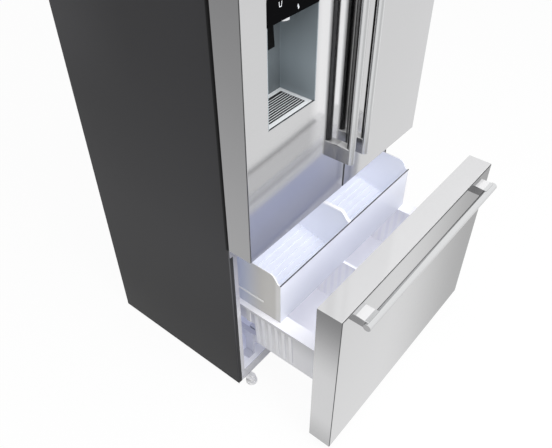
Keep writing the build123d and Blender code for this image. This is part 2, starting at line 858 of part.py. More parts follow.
for side, name in SIDES:
    outer_x = side * half_span
    inner_x = side * door_inner
    with BuildPart() as door_blank:
        block(outer_x, inner_x, door_front_d, -door_gap, door_bottom, door_top)
        front_edges = door_blank.faces().sort_by(Axis.Y)[0].edges()
        fillet(front_edges, edge_radius)
    with BuildPart() as door_core:
        block(
            outer_x - side * skin,
            inner_x + side * skin,
            door_front_d + skin,
            -door_gap,
            door_bottom + skin,
            door_top - skin,
        )
        core_edges = door_core.faces().sort_by(Axis.Y)[0].edges()
        fillet(core_edges, edge_radius - skin)

    with BuildPart() as door_skin_part:
        add(door_blank.part)
        add(door_core.part, mode=Mode.SUBTRACT)
        for z in (door_bottom, door_top):
            upright(side * pivot_x, pivot_d, z - 2 * skin, z + 2 * skin, pin_radius + 2, Mode.SUBTRACT)
        if side < 0:
            block(
                dispenser_left,
                dispenser_right,
                door_front_d,
                door_front_d + skin,
                niche_bottom,
                panel_top,
                Mode.SUBTRACT,
            )
    door_skin_part.part.label = f"door_{name}_skin"
    export_step(door_skin_part.part, f"parts/door_{name}_skin.step")

    with BuildPart() as door_liner:
        add(door_core.part)
        ring(
            side * dyke_outer,
            side * dyke_inner,
            -door_gap,
            dyke_reach,
            dyke_bottom,
            dyke_top,
            dyke_width,
        )
        block(side * dyke_outer, side * dyke_inner, -door_gap - 4, -door_gap, dyke_bottom, dyke_top)
        if side < 0:
            block(
                dispenser_left - bulge_margin,
                dispenser_right + bulge_margin,
                -door_gap - 4,
                niche_back_d + bulge_margin,
                niche_bottom - 2 * bulge_margin,
                panel_top + bulge_margin,
            )
            # ears with the flap's pin holes
            for ear_z in (dyke_bottom, dyke_top - ear_height):
                block(-dyke_inner, flap_x + knuckle, 0, flap_d + knuckle, ear_z, ear_z + ear_height)
                upright(flap_x, flap_d, ear_z, ear_z + ear_height, flap_pin + pin_clearance, Mode.SUBTRACT)
            block(
                dispenser_left,
                dispenser_right,
                door_front_d,
                niche_back_d,
                housing_bottom,
                panel_top,
                Mode.SUBTRACT,
            )
        for z in (door_bottom, door_top):
            upright(
                side * pivot_x,
                pivot_d,
                z - pin_engage - 2,
                z + pin_engage + 2,
                pin_radius + pin_clearance,
                Mode.SUBTRACT,
            )
    door_liner.part.label = f"door_{name}_liner"
    export_step(door_liner.part, f"parts/door_{name}_liner.step")

    with BuildPart() as door_gasket:
        ring(
            side * (half_case - return_width),
            side * (door_inner + 6.5),
            -door_gap,
            -gasket_clearance,
            fridge_floor - gasket_width - 2,
            fridge_ceiling + gasket_width + 2,
            gasket_width,
        )
    door_gasket.part.label = f"door_{name}_gasket"
    export_step(door_gasket.part, f"parts/door_{name}_gasket.step")

    bar_x = side * door_handle_x
    bar_d = door_front_d - handle_reach
    bar_low = door_bottom + door_handle_inset
    bar_high = door_top - door_handle_inset
    with BuildPart() as door_tube:
        upright(bar_x, bar_d, bar_low, bar_high, handle_radius)
        fillet(door_tube.edges().filter_by(GeomType.CIRCLE), 1.5)
    with BuildPart() as door_posts:
        for low in (bar_low + door_post_inset, bar_high - door_post_inset - post_length):
            block(
                bar_x - post_width / 2,
                bar_x + post_width / 2,
                bar_d,
                door_front_d,
                low,
                low + post_length,
            )
        fillet(door_posts.edges().filter_by(Axis.Y), 2)
        add(door_tube.part, mode=Mode.SUBTRACT)
    handle = Compound(children=[door_tube.part.solid()] + list(door_posts.part.solids()))
    handle.label = f"handle_{name}"
    export_step(handle, f"parts/handle_{name}.step")

    with BuildPart() as door_bins:
        bin_outer = side * (dyke_outer - dyke_width)
        bin_inner = side * (dyke_inner + dyke_width)
        for z in bin_heights[side]:
            block(bin_outer, bin_inner, -door_gap, bin_reach, z, z + bin_height)
        fillet(door_bins.edges().filter_by(Axis.Z).group_by(Axis.Y)[-1], 16)
        bin_mouths = door_bins.faces().filter_by(Axis.Z).filter_by(lambda f: f.normal_at().Z > 0)
        offset(amount=-bin_wall, openings=bin_mouths)
    door_bins.part.label = f"door_bins_{name}"
    export_step(door_bins.part, f"parts/door_bins_{name}.step")

# ---------------------------------------------------------------- dispenser
pocket_top = niche_top + 12.0
with BuildPart() as dispenser_housing:
    block(
        dispenser_left,
        dispenser_right,
        door_front_d + skin,
        niche_back_d,
        housing_bottom,
        panel_top,
    )
    # lip round the opening, flush with the door's face
    block(
        dispenser_left,
        dispenser_right,
        door_front_d,
        door_front_d + skin,
        niche_bottom,
        panel_top,
    )
    # room for the control panel in front, then the niche, its top pocket and the well of the grille
    block(
        dispenser_left,
        dispenser_right,
        door_front_d,
        door_front_d + panel_sheet,
        niche_top,
        panel_top,
        Mode.SUBTRACT,
    )
    block(
        dispenser_left + housing_wall,
        dispenser_right - housing_wall,
        door_front_d,
        niche_back_d - housing_wall,
        niche_bottom,
        niche_top,
        Mode.SUBTRACT,
    )
    block(
        dispenser_left + housing_wall,
        dispenser_right - housing_wall,
        door_front_d + panel_sheet + housing_wall,
        niche_back_d - housing_wall,
        niche_top,
        pocket_top,
        Mode.SUBTRACT,
    )
    block(
        dispenser_left + housing_wall,
        dispenser_right - housing_wall,
        door_front_d + panel_sheet,
        niche_back_d - housing_wall,
        niche_bottom - grille_height,
        niche_bottom,
        Mode.SUBTRACT,
    )
dispenser_housing.part.label = "dispenser_housing"
export_step(dispenser_housing.part, "parts/dispenser_housing.step")

with BuildPart() as control_panel:
    block(
        dispenser_left,
        dispenser_right,
        door_front_d - 0.5,
        door_front_d + panel_sheet,
        niche_top,
        panel_top,
    )
    fillet(control_panel.edges().filter_by(Axis.Y).group_by(Axis.Z)[-1], 8)
control_panel.part.label = "control_panel"
export_step(control_panel.part, "parts/control_panel.step")

spout_radius = 19.0
spout_d = door_front_d + 34.0
spout_bottom = niche_top - 17.0
with BuildPart() as dispenser_spout:
    upright(dispenser_mid, spout_d, spout_bottom, pocket_top, spout_radius)
    upright(dispenser_mid, spout_d, spout_bottom, niche_top + 2, spout_radius - 3, Mode.SUBTRACT)
    upright(dispenser_mid, spout_d, spout_bottom + 4, pocket_top, 5)
dispenser_spout.part.label = "dispenser_spout"
export_step(dispenser_spout.part, "parts/dispenser_spout.step")

paddle_half = 25.0
paddle_d = door_front_d + 88.0
paddle_bottom = niche_top - 110.0
paddle_pivot_z = niche_top + 5.0
paddle_sheet = 4.0
paddle_lean = 8.0  # how far the foot of the paddle stands forward of its pivot
with BuildPart() as dispenser_paddle:
    with BuildSketch(side_view(dispenser_mid - paddle_half)):
        with BuildLine():
            Polyline(
                (paddle_d - paddle_sheet / 2, paddle_pivot_z),
                (paddle_d + paddle_sheet / 2, paddle_pivot_z),
                (paddle_d - paddle_lean + paddle_sheet / 2, paddle_bottom),
                (paddle_d - paddle_lean - paddle_sheet / 2, paddle_bottom),
                close=True,
            )
        make_face()
    extrude(amount=2 * paddle_half)
    crosswise(
        dispenser_left + housing_wall + 0.3,
        dispenser_right - housing_wall - 0.3,
        paddle_d,
        paddle_pivot_z,
        3.5,
    )
dispenser_paddle.part.label = "dispenser_paddle"
export_step(dispenser_paddle.part, "parts/dispenser_paddle.step")

frame_width = 14.0
slat_count = 9
with BuildPart() as drip_grille:
    grille_left = dispenser_left + housing_wall + 0.3
    grille_right = dispenser_right - housing_wall - 0.3
    grille_front = door_front_d + panel_sheet + 0.3
    grille_back = niche_back_d - housing_wall - 0.3
    grille_low = niche_bottom - grille_height
    block(grille_left, grille_right, grille_front, grille_back, grille_low, grille_low + grille_height)
    block(
        grille_left + frame_width,
        grille_right - frame_width,
        grille_front + frame_width,
        grille_back - frame_width,
        grille_low + 1,
        grille_low + grille_height,
        Mode.SUBTRACT,
    )
    slat_pitch = (grille_back - grille_front - 2 * frame_width) / (slat_count + 1)
    for slat in range(slat_count):
        slat_d = grille_front + frame_width + (slat + 1) * slat_pitch
        block(
            grille_left + frame_width - 1,
            grille_right - frame_width + 1,
            slat_d - 1.4,
            slat_d + 1.4,
            grille_low + 3,
            grille_low + grille_height - 2,
        )
drip_grille.part.label = "drip_grille"
export_step(drip_grille.part, "parts/drip_grille.step")

# ---------------------------------------------------------------- centre flap, folded back at rest
with BuildPart() as centre_flap:
    upright(flap_x, flap_d, flap_low, flap_high, knuckle)
    block(flap_x - knuckle, flap_x + knuckle, flap_d, flap_d + flap_width, flap_low, flap_high)
    upright(flap_x, flap_d, flap_low - ear_height, flap_high + ear_height, flap_pin)
centre_flap.part.label = "centre_flap"
export_step(centre_flap.part, "parts/centre_flap.step")

# ================================================================ freezer drawer
with BuildPart() as drawer_blank:
    block(-half_span, half_span, drawer_front_d, drawer_back_d, drawer_bottom, drawer_top)
    fillet(drawer_blank.faces().sort_by(Axis.Y)[0].edges(), edge_radius)
with BuildPart() as drawer_core:
    block(
        -half_span + skin,
        half_span - skin,
        drawer_front_d + skin,
        drawer_back_d,
        drawer_bottom + skin,
        drawer_top - skin,
    )
    fillet(drawer_core.faces().sort_by(Axis.Y)[0].edges(), edge_radius - skin)

with BuildPart() as drawer_skin:
    add(drawer_blank.part)
    add(drawer_core.part, mode=Mode.SUBTRACT)
drawer_skin.part.label = "drawer_skin"
export_step(drawer_skin.part, "parts/drawer_skin.step")

drawer_dyke = 12.0
basket_front_d = drawer_back_d + drawer_dyke
with BuildPart() as drawer_liner:
    add(drawer_core.part)
    ring(
        -dyke_outer,
        dyke_outer,
        drawer_back_d,
        drawer_back_d + drawer_dyke - 0.3,
        freezer_floor + 12,
        freezer_ceiling - 12,
        dyke_width,
    )
    block(
        -dyke_outer,
        dyke_outer,
        drawer_back_d - 4,
        drawer_back_d,
        freezer_floor + 12,
        freezer_ceiling - 12,
    )
drawer_liner.part.label = "drawer_liner"
export_step(drawer_liner.part, "parts/drawer_liner.step")

with BuildPart() as drawer_gasket:
    ring(
        -half_case + return_width,
        half_case - return_width,
        drawer_back_d,
        drawer_back_d + door_gap - gasket_clearance,
        freezer_floor - gasket_width - 2,
        freezer_ceiling + gasket_width + 2,
        gasket_width,
    )
drawer_gasket.part.label = "drawer_gasket"
export_step(drawer_gasket.part, "parts/drawer_gasket.step")

tube_z = drawer_top - drawer_handle_drop
tube_d = drawer_front_d - handle_reach
with BuildPart() as drawer_tube:
    crosswise(-drawer_handle_half, drawer_handle_half, tube_d, tube_z, handle_radius)
    fillet(drawer_tube.edges().filter_by(GeomType.CIRCLE), 1.5)
with BuildPart() as drawer_posts:
    for side, _ in SIDES:
        block(
            side * (drawer_handle_half - drawer_post_inset),
            side * (drawer_handle_half - drawer_post_inset - post_length),
            tube_d,
            drawer_front_d,
            tube_z - post_width / 2,
            tube_z + post_width / 2,
        )
    fillet(drawer_posts.edges().filter_by(Axis.Y), 2)
    add(drawer_tube.part, mode=Mode.SUBTRACT)
drawer_handle = Compound(children=[drawer_tube.part.solid()] + list(drawer_posts.part.solids()))
drawer_handle.label = "drawer_handle"
export_step(drawer_handle, "parts/drawer_handle.step")

# ---------------------------------------------------------------- basket
rim_outer = mouth_half - 19.0
rim_inner = rim_outer - 54.0
rim_top = 412.0
rim_sheet = 12.0  # height of the flat rim's outer lip
wall_top_half = mouth_half - 42.0
wall_base_half = wall_top_half - 14.0
basket_wall = 3.0
basket_low_depth = 296.0
basket_low_back = basket_front_d + basket_low_depth
basket_high_back = duct_d - rest_opening - 31.0
basket_step = step_height + 12.0


def basket_profile(wall):
    """Side view of the basket, shrunk by wall at the front, back and bottom."""
    return (
        (basket_front_d + wall, basket_base + wall),
        (basket_low_back - wall, basket_base + wall),
        (basket_low_back - wall, basket_step + wall),
        (basket_high_back - wall, basket_step + wall),
        (basket_high_back - wall, rim_top),
        (basket_front_d + wall, rim_top),
    )


def tapered_trough(wall):
    """The basket's outside, or its inside for a positive wall, with sides that lean in downwards."""
    with BuildPart() as body:
        with BuildSketch(side_view(-wall_top_half)):
            Polygon(*basket_profile(wall), align=None)
        extrude(amount=2 * wall_top_half)
        for side, _ in SIDES:
            with BuildSketch(front_view(basket_high_back + 1)):
                with BuildLine():
                    Polyline(
                        (side * (wall_top_half - wall), rim_top + 1),
                        (side * (wall_base_half - wall), basket_base - 1),
                        (side * (wall_top_half + 9), basket_base - 1),
                        (side * (wall_top_half + 9), rim_top + 1),
                        close=True,
                    )
                make_face()
            extrude(amount=basket_high_back - basket_front_d + 2, mode=Mode.SUBTRACT)
    return body.part


rib_pitch = 29.0
rib_count = 6
rib_first = -27.0
rib_width = 12.0
rib_length = 176.0
rib_proud = 3.0
hook_d = -24.0
hook_width = 16.0
hook_height = 64.0
hook_sheet = 4.0
divider_x = -22.0
divider_sheet = 3.0
divider_cap = 12.0
with BuildPart() as freezer_basket:
    add(tapered_trough(0))
    block(
        -rim_outer,
        rim_outer,
        basket_front_d,
        basket_high_back,
        rim_top - rim_sheet,
        rim_top,
    )
    block(
        -rim_outer + 3,
        -wall_top_half,
        basket_front_d,
        basket_high_back,
        rim_top - rim_sheet,
        rim_top - 3,
        Mode.SUBTRACT,
    )
    block(
        wall_top_half,
        rim_outer - 3,
        basket_front_d,
        basket_high_back,
        rim_top - rim_sheet,
        rim_top - 3,
        Mode.SUBTRACT,
    )
    add(tapered_trough(basket_wall), mode=Mode.SUBTRACT)
    for side, _ in SIDES:
        # flat rim, from the wall in to the mouth, and the hook below its outer lip
        block(
            side * (wall_top_half - 1),
            side * rim_inner,
            basket_front_d,
            basket_high_back,
            rim_top - 3,
            rim_top,
        )
        block(
            side * (rim_outer - hook_sheet),
            side * rim_outer,
            hook_d,
            hook_d + hook_width,
            rim_top - hook_height,
            rim_top - rim_sheet,
        )
        # upright ribs with round ends on the outside of each side wall
        lean = wall_top_half - wall_base_half
        rise = rim_top - basket_base
        slant = sqrt(lean**2 + rise**2)
        wall_middle = (wall_top_half + wall_base_half) / 2 - 1
        ribs_middle = rib_first - (rib_count - 1) * rib_pitch / 2
        rib_plane = Plane(
            origin=(side * wall_middle, front_y + ribs_middle, (rim_top + basket_base) / 2 - 6),
            x_dir=(side * lean / slant, 0, rise / slant),
            z_dir=(side * rise / slant, 0, -lean / slant),
        )
        with BuildSketch(rib_plane):
            with GridLocations(0, rib_pitch, 1, rib_count):
                SlotOverall(rib_length, rib_width)
        extrude(amount=rib_proud + 1)
freezer_basket.part.label = "freezer_basket"
export_step(freezer_basket.part, "parts/freezer_basket.step")

with BuildPart() as basket_divider:
    block(
        divider_x - divider_sheet / 2,
        divider_x + divider_sheet / 2,
        basket_front_d + basket_wall,
        basket_low_back - basket_wall,
        basket_base + basket_wall,
        rim_top - 4,
    )
    block(
        divider_x - divider_cap / 2,
        divider_x + divider_cap / 2,
        basket_front_d + basket_wall,
        basket_low_back - basket_wall,
        rim_top - 4,
        rim_top - 0.5,
    )
basket_divider.part.label = "basket_divider"
export_step(basket_divider.part, "parts/basket_divider.step")

# ---------------------------------------------------------------- upper tray
tray_half = mouth_half - 38.0
tray_front_d = drawer_back_d + 186.0
tray_back_d = duct_d - rest_opening - 13.0
tray_base = rim_top + 0.3
tray_high = 614.0
tray_low = 583.0
tray_wall = 4.0
dip_start = 43.0  # behind the front wall, where the side's top edge starts down
tray_steps = 8
step_rise = 4.6
step_pitch = 24.0
step_skew = 3.0  # underside of a step, behind its upper side
first_step = 30.0  # outer face of the front wall to the first step

with BuildPart() as upper_tray:
    with BuildSketch(side_view(-tray_half)):
        with BuildLine():
            Line((tray_front_d, tray_base), (tray_back_d, tray_base))
            Line((tray_back_d, tray_base), (tray_back_d, tray_high))
            Line((tray_back_d, tray_high), (tray_front_d + dip_start, tray_high))
            Spline(
                (tray_front_d + dip_start, tray_high),
                (tray_front_d + dip_start * 0.45, (tray_high + tray_low) / 2),
                (tray_front_d + 2.0, tray_low),
                tangents=((-1, 0), (-1, -0.1)),
            )
            Line((tray_front_d + 2.0, tray_low), (tray_front_d, tray_low))
            Line((tray_front_d, tray_low), (tray_front_d, tray_base))
        make_face()
    extrude(amount=2 * tray_half)
    tray_middle = tray_wall / 2
    for side, _ in SIDES:
        block(
            side * tray_middle,
            side * (tray_half - tray_wall),
            tray_front_d + tray_wall,
            tray_back_d - tray_wall,
            tray_base + tray_wall,
            tray_high + 1,
            Mode.SUBTRACT,
        )
    # treads rising across the floor towards the back
    for step in range(1, tray_steps + 1):
        step_d = tray_front_d + first_step + (step - 1) * step_pitch
        for side, _ in SIDES:
            block(
                side * tray_middle,
                side * (tray_half - tray_wall),
                step_d,
                tray_back_d - tray_wall,
                tray_base + tray_wall,
                tray_base + tray_wall + step * step_rise,
            )
    # the same steps on the underside
    for step in range(1, tray_steps + 1):
        step_d = tray_front_d + first_step + (step - 1) * step_pitch
        for side, _ in SIDES:
            block(
                side * tray_middle,
                side * (tray_half - tray_wall),
                step_d + step_skew,
                tray_back_d - tray_wall,
                tray_base,
                tray_base + step * step_rise,
                Mode.SUBTRACT,
            )
    # guide rib along each outer side
    for side, _ in SIDES:
        block(
            side * (tray_half - 1),
            side * (tray_half + 3),
            tray_front_d + 68,
            tray_back_d,
            tray_base + 54,
            tray_base + 60,
        )
upper_tray.part.label = "upper_tray"
export_step(upper_tray.part, "parts/upper_tray.step")

with BuildPart() as tray_trim:
    block(
        -tray_half,
        tray_half,
        tray_front_d - 1.5,
        tray_front_d + 1.8,
        tray_low,
        tray_low + 2.5,
    )
tray_trim.part.label = "tray_trim"
export_step(tray_trim.part, "parts/tray_trim.step")
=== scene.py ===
"""Looks of a refrigerator with two French doors over a pulled-out freezer drawer.

Lengths are in metres in the frame of the model: +Z up, +X to the right and the front towards -Y.
"""
import math

import bmesh
import bpy
from bpy.props import FloatProperty, FloatVectorProperty, PointerProperty
from mathutils import Matrix, Vector


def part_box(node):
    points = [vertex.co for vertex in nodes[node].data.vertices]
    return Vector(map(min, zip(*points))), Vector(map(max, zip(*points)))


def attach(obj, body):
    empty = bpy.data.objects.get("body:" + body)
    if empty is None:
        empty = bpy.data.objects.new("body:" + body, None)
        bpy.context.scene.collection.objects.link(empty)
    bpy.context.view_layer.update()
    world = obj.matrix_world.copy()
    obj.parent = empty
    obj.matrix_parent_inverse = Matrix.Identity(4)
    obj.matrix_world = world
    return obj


bl_info = {
    "name": "French-door refrigerator",
    "version": (1, 0, 0),
    "blender": (4, 5, 0),
    "location": "3D View > Sidebar > Refrigerator",
    "description": "Finishes and small parts of a refrigerator with a freezer drawer",
    "category": "Object",
}

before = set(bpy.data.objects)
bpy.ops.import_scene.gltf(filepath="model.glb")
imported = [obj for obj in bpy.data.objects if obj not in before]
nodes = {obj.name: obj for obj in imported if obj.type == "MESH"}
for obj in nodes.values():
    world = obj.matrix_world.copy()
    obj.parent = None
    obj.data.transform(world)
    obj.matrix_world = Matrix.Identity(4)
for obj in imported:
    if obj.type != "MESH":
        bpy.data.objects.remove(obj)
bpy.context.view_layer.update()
CASE_FRONT = 78.0  # millimetres from the middle of the frame forward to the front plane of the case


def depth(millimetres):
    """The y of a depth that is measured back from the front plane of the case."""
    return (millimetres - CASE_FRONT) / 1000.0


def shade(red, green, blue):
    """A screen colour from 0 to 255 as the linear colour that Blender stores."""
    levels = [level / 255.0 for level in (red, green, blue)]
    return tuple(v / 12.92 if v <= 0.04045 else ((v + 0.055) / 1.055) ** 2.4 for v in levels)


# ---------------------------------------------------------------- shader expressions
class Wire:
    """A shader socket in an expression. Each sign on it adds a Math node."""

    def __init__(self, tree, socket):
        self.tree = tree
        self.socket = socket

    def apply(self, operation, *terms, clamp=False):
        node = self.tree.nodes.new("ShaderNodeMath")
        node.operation = operation
        node.use_clamp = clamp
        for socket, term in zip(node.inputs, terms):
            if isinstance(term, Wire):
                self.tree.links.new(term.socket, socket)
            else:
                socket.default_value = term
        return Wire(self.tree, node.outputs[0])

    def __add__(self, other):
        return self.apply("ADD", self, other)

    def __radd__(self, other):
        return self.apply("ADD", other, self)

    def __sub__(self, other):
        return self.apply("SUBTRACT", self, other)

    def __rsub__(self, other):
        return self.apply("SUBTRACT", other, self)

    def __mul__(self, other):
        return self.apply("MULTIPLY", self, other)

    def __rmul__(self, other):
        return self.apply("MULTIPLY", other, self)

    def __mod__(self, other):
        return self.apply("FLOORED_MODULO", self, other)

    def __gt__(self, other):
        return self.apply("GREATER_THAN", self, other)

    def __lt__(self, other):
        return self.apply("LESS_THAN", self, other)

    def __abs__(self):
        return self.apply("ABSOLUTE", self)

    def clamped(self):
        return self.apply("ADD", self, 0.0, clamp=True)


class Finish:
    """A node tree that is written as expressions, for a material or the world."""

    def __init__(self, tree):
        self.tree = tree
        tree.nodes.clear()
        self.places = {}

    def node(self, kind, settings=None, sockets=None, output=0):
        """Any node but Math: its type, its settings, and the values or links of its sockets."""
        node = self.tree.nodes.new(kind)
        for key, value in (settings or {}).items():
            setattr(node, key, value)
        for key, value in (sockets or {}).items():
            if isinstance(key, int):
                socket = node.inputs[key]
            else:
                socket = next(s for s in node.inputs if s.enabled and s.name == key)
            if isinstance(value, Wire):
                self.tree.links.new(value.socket, socket)
            elif getattr(socket, "type", "") == "RGBA" and len(value) == 3:
                socket.default_value = (*value, 1.0)
            else:
                socket.default_value = value
        made = [s for s in node.outputs if s.enabled]
        socket = node.outputs[output] if isinstance(output, str) else (made[output] if made else None)
        return Wire(self.tree, socket)

    def split(self, kind):
        """A texture coordinate and its parts, as (vector, x, y, z)."""
        if kind not in self.places:
            vector = self.node("ShaderNodeTexCoord", output=kind)
            parts = self.node("ShaderNodeSeparateXYZ", sockets={"Vector": vector})
            axes = [Wire(self.tree, socket) for socket in parts.socket.node.outputs]
            self.places[kind] = (vector, *axes)
        return self.places[kind]

    def place(self):
        """Where the point lies in the frame, as x, y, z."""
        return self.split("Object")[1:]

    def facing(self):
        """Which way the surface faces, as x, y, z."""
        return self.split("Normal")[1:]

    def seen(self):
        """1 where the camera sees this directly, in a mirror or through glass, and 0 for other light."""
        outs = self.node("ShaderNodeLightPath").socket.node.outputs
        camera, glossy, through = (
            Wire(self.tree, outs[f"Is {kind} Ray"]) for kind in ("Camera", "Glossy", "Transmission")
        )
        return (camera + glossy + through).clamped()

    def stretched(self, x, y, z):
        """The place with each axis scaled by itself."""
        return self.node(
            "ShaderNodeVectorMath",
            {"operation": "MULTIPLY"},
            {0: self.split("Object")[0], 1: (x, y, z)},
        )

    def noise(self, scale, detail=3.0, rough=0.5, stretch=(1.0, 1.0, 1.0)):
        return self.node(
            "ShaderNodeTexNoise",
            {"noise_dimensions": "3D"},
            {"Vector": self.stretched(*stretch), "Scale": scale, "Detail": detail, "Roughness": rough},
        )

    def cells(self, scale):
        sockets = {"Vector": self.stretched(1.0, 1.0, 1.0), "Scale": scale}
        return self.node("ShaderNodeTexVoronoi", {"feature": "F1"}, sockets)

    def span(self, value, low, high, start=0.0, end=1.0):
        """value from low to high as start to end, held beyond them."""
        return self.node(
            "ShaderNodeMapRange",
            {"interpolation_type": "SMOOTHSTEP"},
            {"Value": value, "From Min": low, "From Max": high, "To Min": start, "To Max": end},
        )

    def before(self, value, low, high):
        """1 up to low, and from there down to 0 at high."""
        return 1.0 - self.span(value, low, high)

    def blend(self, factor, first, second):
        """From the first colour to the second."""
        return self.node(
            "ShaderNodeMix",
            {"data_type": "RGBA"},
            {"Factor": factor, "A": first, "B": second},
        )

    def tint(self, colour, value):
        """A colour made lighter or darker by a number."""
        return self.node(
            "ShaderNodeVectorMath",
            {"operation": "SCALE"},
            {"Vector": colour, "Scale": value},
        )

    def bump(self, height, strength, distance, under=None):
        """The normal of a relief; under is the normal that it lies on."""
        sockets = {"Height": height, "Strength": strength, "Distance": distance}
        if under is not None:
            sockets["Normal"] = under
        return self.node("ShaderNodeBump", sockets=sockets)

    def surface(self, **sockets):
        """Ends the material in a Principled shader; arguments are its sockets, _ for a space."""
        named = {key.replace("_", " "): value for key, value in sockets.items()}
        shader = self.node("ShaderNodeBsdfPrincipled", sockets=named)
        self.node("ShaderNodeOutputMaterial", sockets={"Surface": shader})


def begin(name):
    material = bpy.data.materials.new(name)
    material.use_nodes = True
    return material, Finish(material.node_tree)


def colour(value):
    """A colour setting as three plain numbers."""
    return tuple(value)[:3]


# ---------------------------------------------------------------- finishes
GRAIN_SCALE = 900.0  # scale of the noise that stands for a spark-eroded mould


def mould_marks(f, grain_scale=GRAIN_SCALE):
    """Faint flow marks, and the fine grain of a mould."""
    return f.noise(6.0, 2.0, stretch=(1.0, 1.0, 0.35)), f.noise(grain_scale, 2.0)


def mould_gloss(rough, flow, spark):
    """The uneven roughness of moulded plastic."""
    return rough + (flow - 0.5) * 0.10 + (spark - 0.5) * 0.08


def shades(tone, darker, lighter=1.0):
    """Two shades of a colour, each a share of it and neither over white."""
    return (tuple(min(1.0, c * share) for c in tone[:3]) for share in (darker, lighter))


def moulded_plastic(name, tone, rough=0.4, grain=0.25, grain_scale=GRAIN_SCALE, gloss=0.5, inner=None):
    """Injection-moulded plastic: fine spark-eroded grain, faint flow marks, uneven gloss.

    inner is (half width, strength, tint) of a painted glow on the faces within the half width of x = 0.
    """
    material, f = begin(name)
    flow, spark = mould_marks(f, grain_scale)
    f.surface(
        Base_Color=f.blend(flow, *shades(tone, 0.95, 1.03)),
        Roughness=mould_gloss(rough, flow, spark),
        Normal=f.bump(spark, grain, 0.0002),
        Specular_IOR_Level=gloss,
        **painted_glow_sockets(f, inner),
    )
    return material


def painted_glow_sockets(f, inner):
    """The sockets for a painted glow inside a half width on both sides of x = 0."""
    if inner is None:
        return {}
    half, strength, tint = inner
    x, _, _ = f.place()
    blur = 0.0006
    inside = f.before(abs(x), half - blur, half)
    black = (0.0, 0.0, 0.0)
    return {"Emission_Color": f.blend(inside, black, tint), "Emission_Strength": strength}


def painted_sheet(name, tone, rough=0.42, peel=0.3, metallic=0.0, front=None):
    """Coil-coated or powder-painted steel sheet with a fine orange peel.

    front is the colour of what stands out in front of the case.
    """
    material, f = begin(name)
    pebble = f.noise(420.0, 2.0)
    wide = f.noise(3.0, 2.0)
    base = f.blend(wide, *shades(tone, 0.94, 1.05))
    if front is not None:
        _, y, _ = f.place()
        ahead = f.before(y, depth(-1.0), depth(0.0))
        base = f.blend(ahead, base, front)
        metallic = (1.0 - ahead) * metallic
    f.surface(
        Base_Color=base,
        Metallic=metallic,
        Roughness=rough + (wide - 0.5) * 0.08,
        Normal=f.bump(pebble, peel, 0.0003),
    )
    return material


def brushed_metal(name, tone, rough=0.3, along=(2.0, 2.0, 900.0), metallic=1.0):
    """Metal with a ground grain; along is the noise scale of each axis, small along the grain."""
    material, f = begin(name)
    grain = f.noise(1.0, 4.0, 0.65, along)
    patch = f.noise(5.0, 2.0)
    f.surface(
        Base_Color=f.tint(tone[:3], 1.0 + (grain - 0.5) * 0.12 + (patch - 0.5) * 0.06),
        Metallic=metallic,
        Roughness=rough + (grain - 0.5) * 0.12 + (patch - 0.5) * 0.05,
        Normal=f.bump(grain, 0.12, 0.0001),
    )
    return material


def clear_plastic(name, tone, rough, clarity):
    """Clear polystyrene or glass with a slight tint and a few moulding marks."""
    material, f = begin(name)
    flow = f.noise(9.0, 2.0)
    fine = f.noise(300.0, 2.0)
    f.surface(
        Base_Color=f.blend(flow, *shades(tone, 0.97)),
        Roughness=rough + (flow - 0.5) * 0.04,
        Transmission_Weight=clarity,
        IOR=1.49,
        Normal=f.bump(fine, 0.05, 0.0002),
    )
    return material


def door_steel(name, settings, tall):
    """Brushed stainless sheet: pale front, darker returns at the sides graded by painted reflection, a thin
    dark bend between as painted shade.
    """
    material, f = begin(name)
    x, _, z = f.place()
    nx, ny, nz = f.facing()
    grain = f.noise(1.0, 4.0, 0.6, (2.5, 2.5, 1400.0))
    patch = f.noise(4.0, 2.0)
    side = f.span(abs(nx), 0.80, 0.97)
    top = f.span(nz, 0.80, 0.97)
    flat = f.span(abs(ny), 0.80, 0.97)
    bend = (1.0 - side - top - flat).clamped()
    if tall:
        # Painted reflection: the side returns of the tall doors grade from the lower to the upper colour.
        low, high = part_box("door_left_skin")
        height = f.span(z, low.z, high.z)
        side_tone = f.blend(height, colour(settings.side_low), colour(settings.side_high))
        # Painted shadow: the sides that face each other across the doors' gap are dark.
        beyond_gap = f.span(abs(x), 0.006, 0.02)
        side_tone = f.blend(beyond_gap, shade(84, 84, 85), side_tone)
        # Above the lower ends of the handles, a painted reflection makes the doors bright beside them and
        # painted shade dark between them.
        beside = f.span(x, -0.205, -0.150) * f.before(x, -0.046, -0.036)
        between = f.before(abs(x), 0.026, 0.036)
        above_ends = f.span(z, 0.90, 0.99)
        shaded = (between * 0.78 - beside * 0.31) * above_ends * flat
        door_middle = 0.228
        off = abs(x) - door_middle
        crown = f.bump(off * off * -settings.crown * flat, 1.0, 1.0)
    else:
        # Painted reflection: the drawer's side returns are light low down, darker towards the top and at
        # the foot; painted shade darkens its front towards the right.
        height = f.span(z, 0.38, 0.72)
        side_tone = f.blend(height, colour(settings.front), colour(settings.side_high))
        side_tone = f.tint(side_tone, f.span(z, 0.03, 0.20, 0.74, 1.0))
        shaded = flat * (0.05 + f.span(x, -0.2, 0.5) * 0.72)
        crown = None
    tone = f.blend(side, colour(settings.front), side_tone)
    tone = f.blend(top, tone, colour(settings.top))
    # Painted shade: the bends between front and sides are dark, and so is a thin line along the fronts'
    # outer edges.
    tone = f.blend(bend, tone, colour(settings.bend))
    outer_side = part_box("drawer_skin")[1].x
    outer_edge = f.span(abs(x), outer_side - 0.0032, outer_side - 0.0020) * flat
    tone = f.blend(outer_edge, tone, f.tint(colour(settings.bend), 0.8))
    f.surface(
        Base_Color=f.tint(tone, 1.0 - shaded + (grain - 0.5) * 0.05 + (patch - 0.5) * 0.03),
        Metallic=1.0 - top * 0.85,
        Roughness=settings.roughness + (grain - 0.5) * 0.06 + side * 0.08,
        Normal=f.bump(grain, 0.05, 0.0001, crown),
    )
    return material


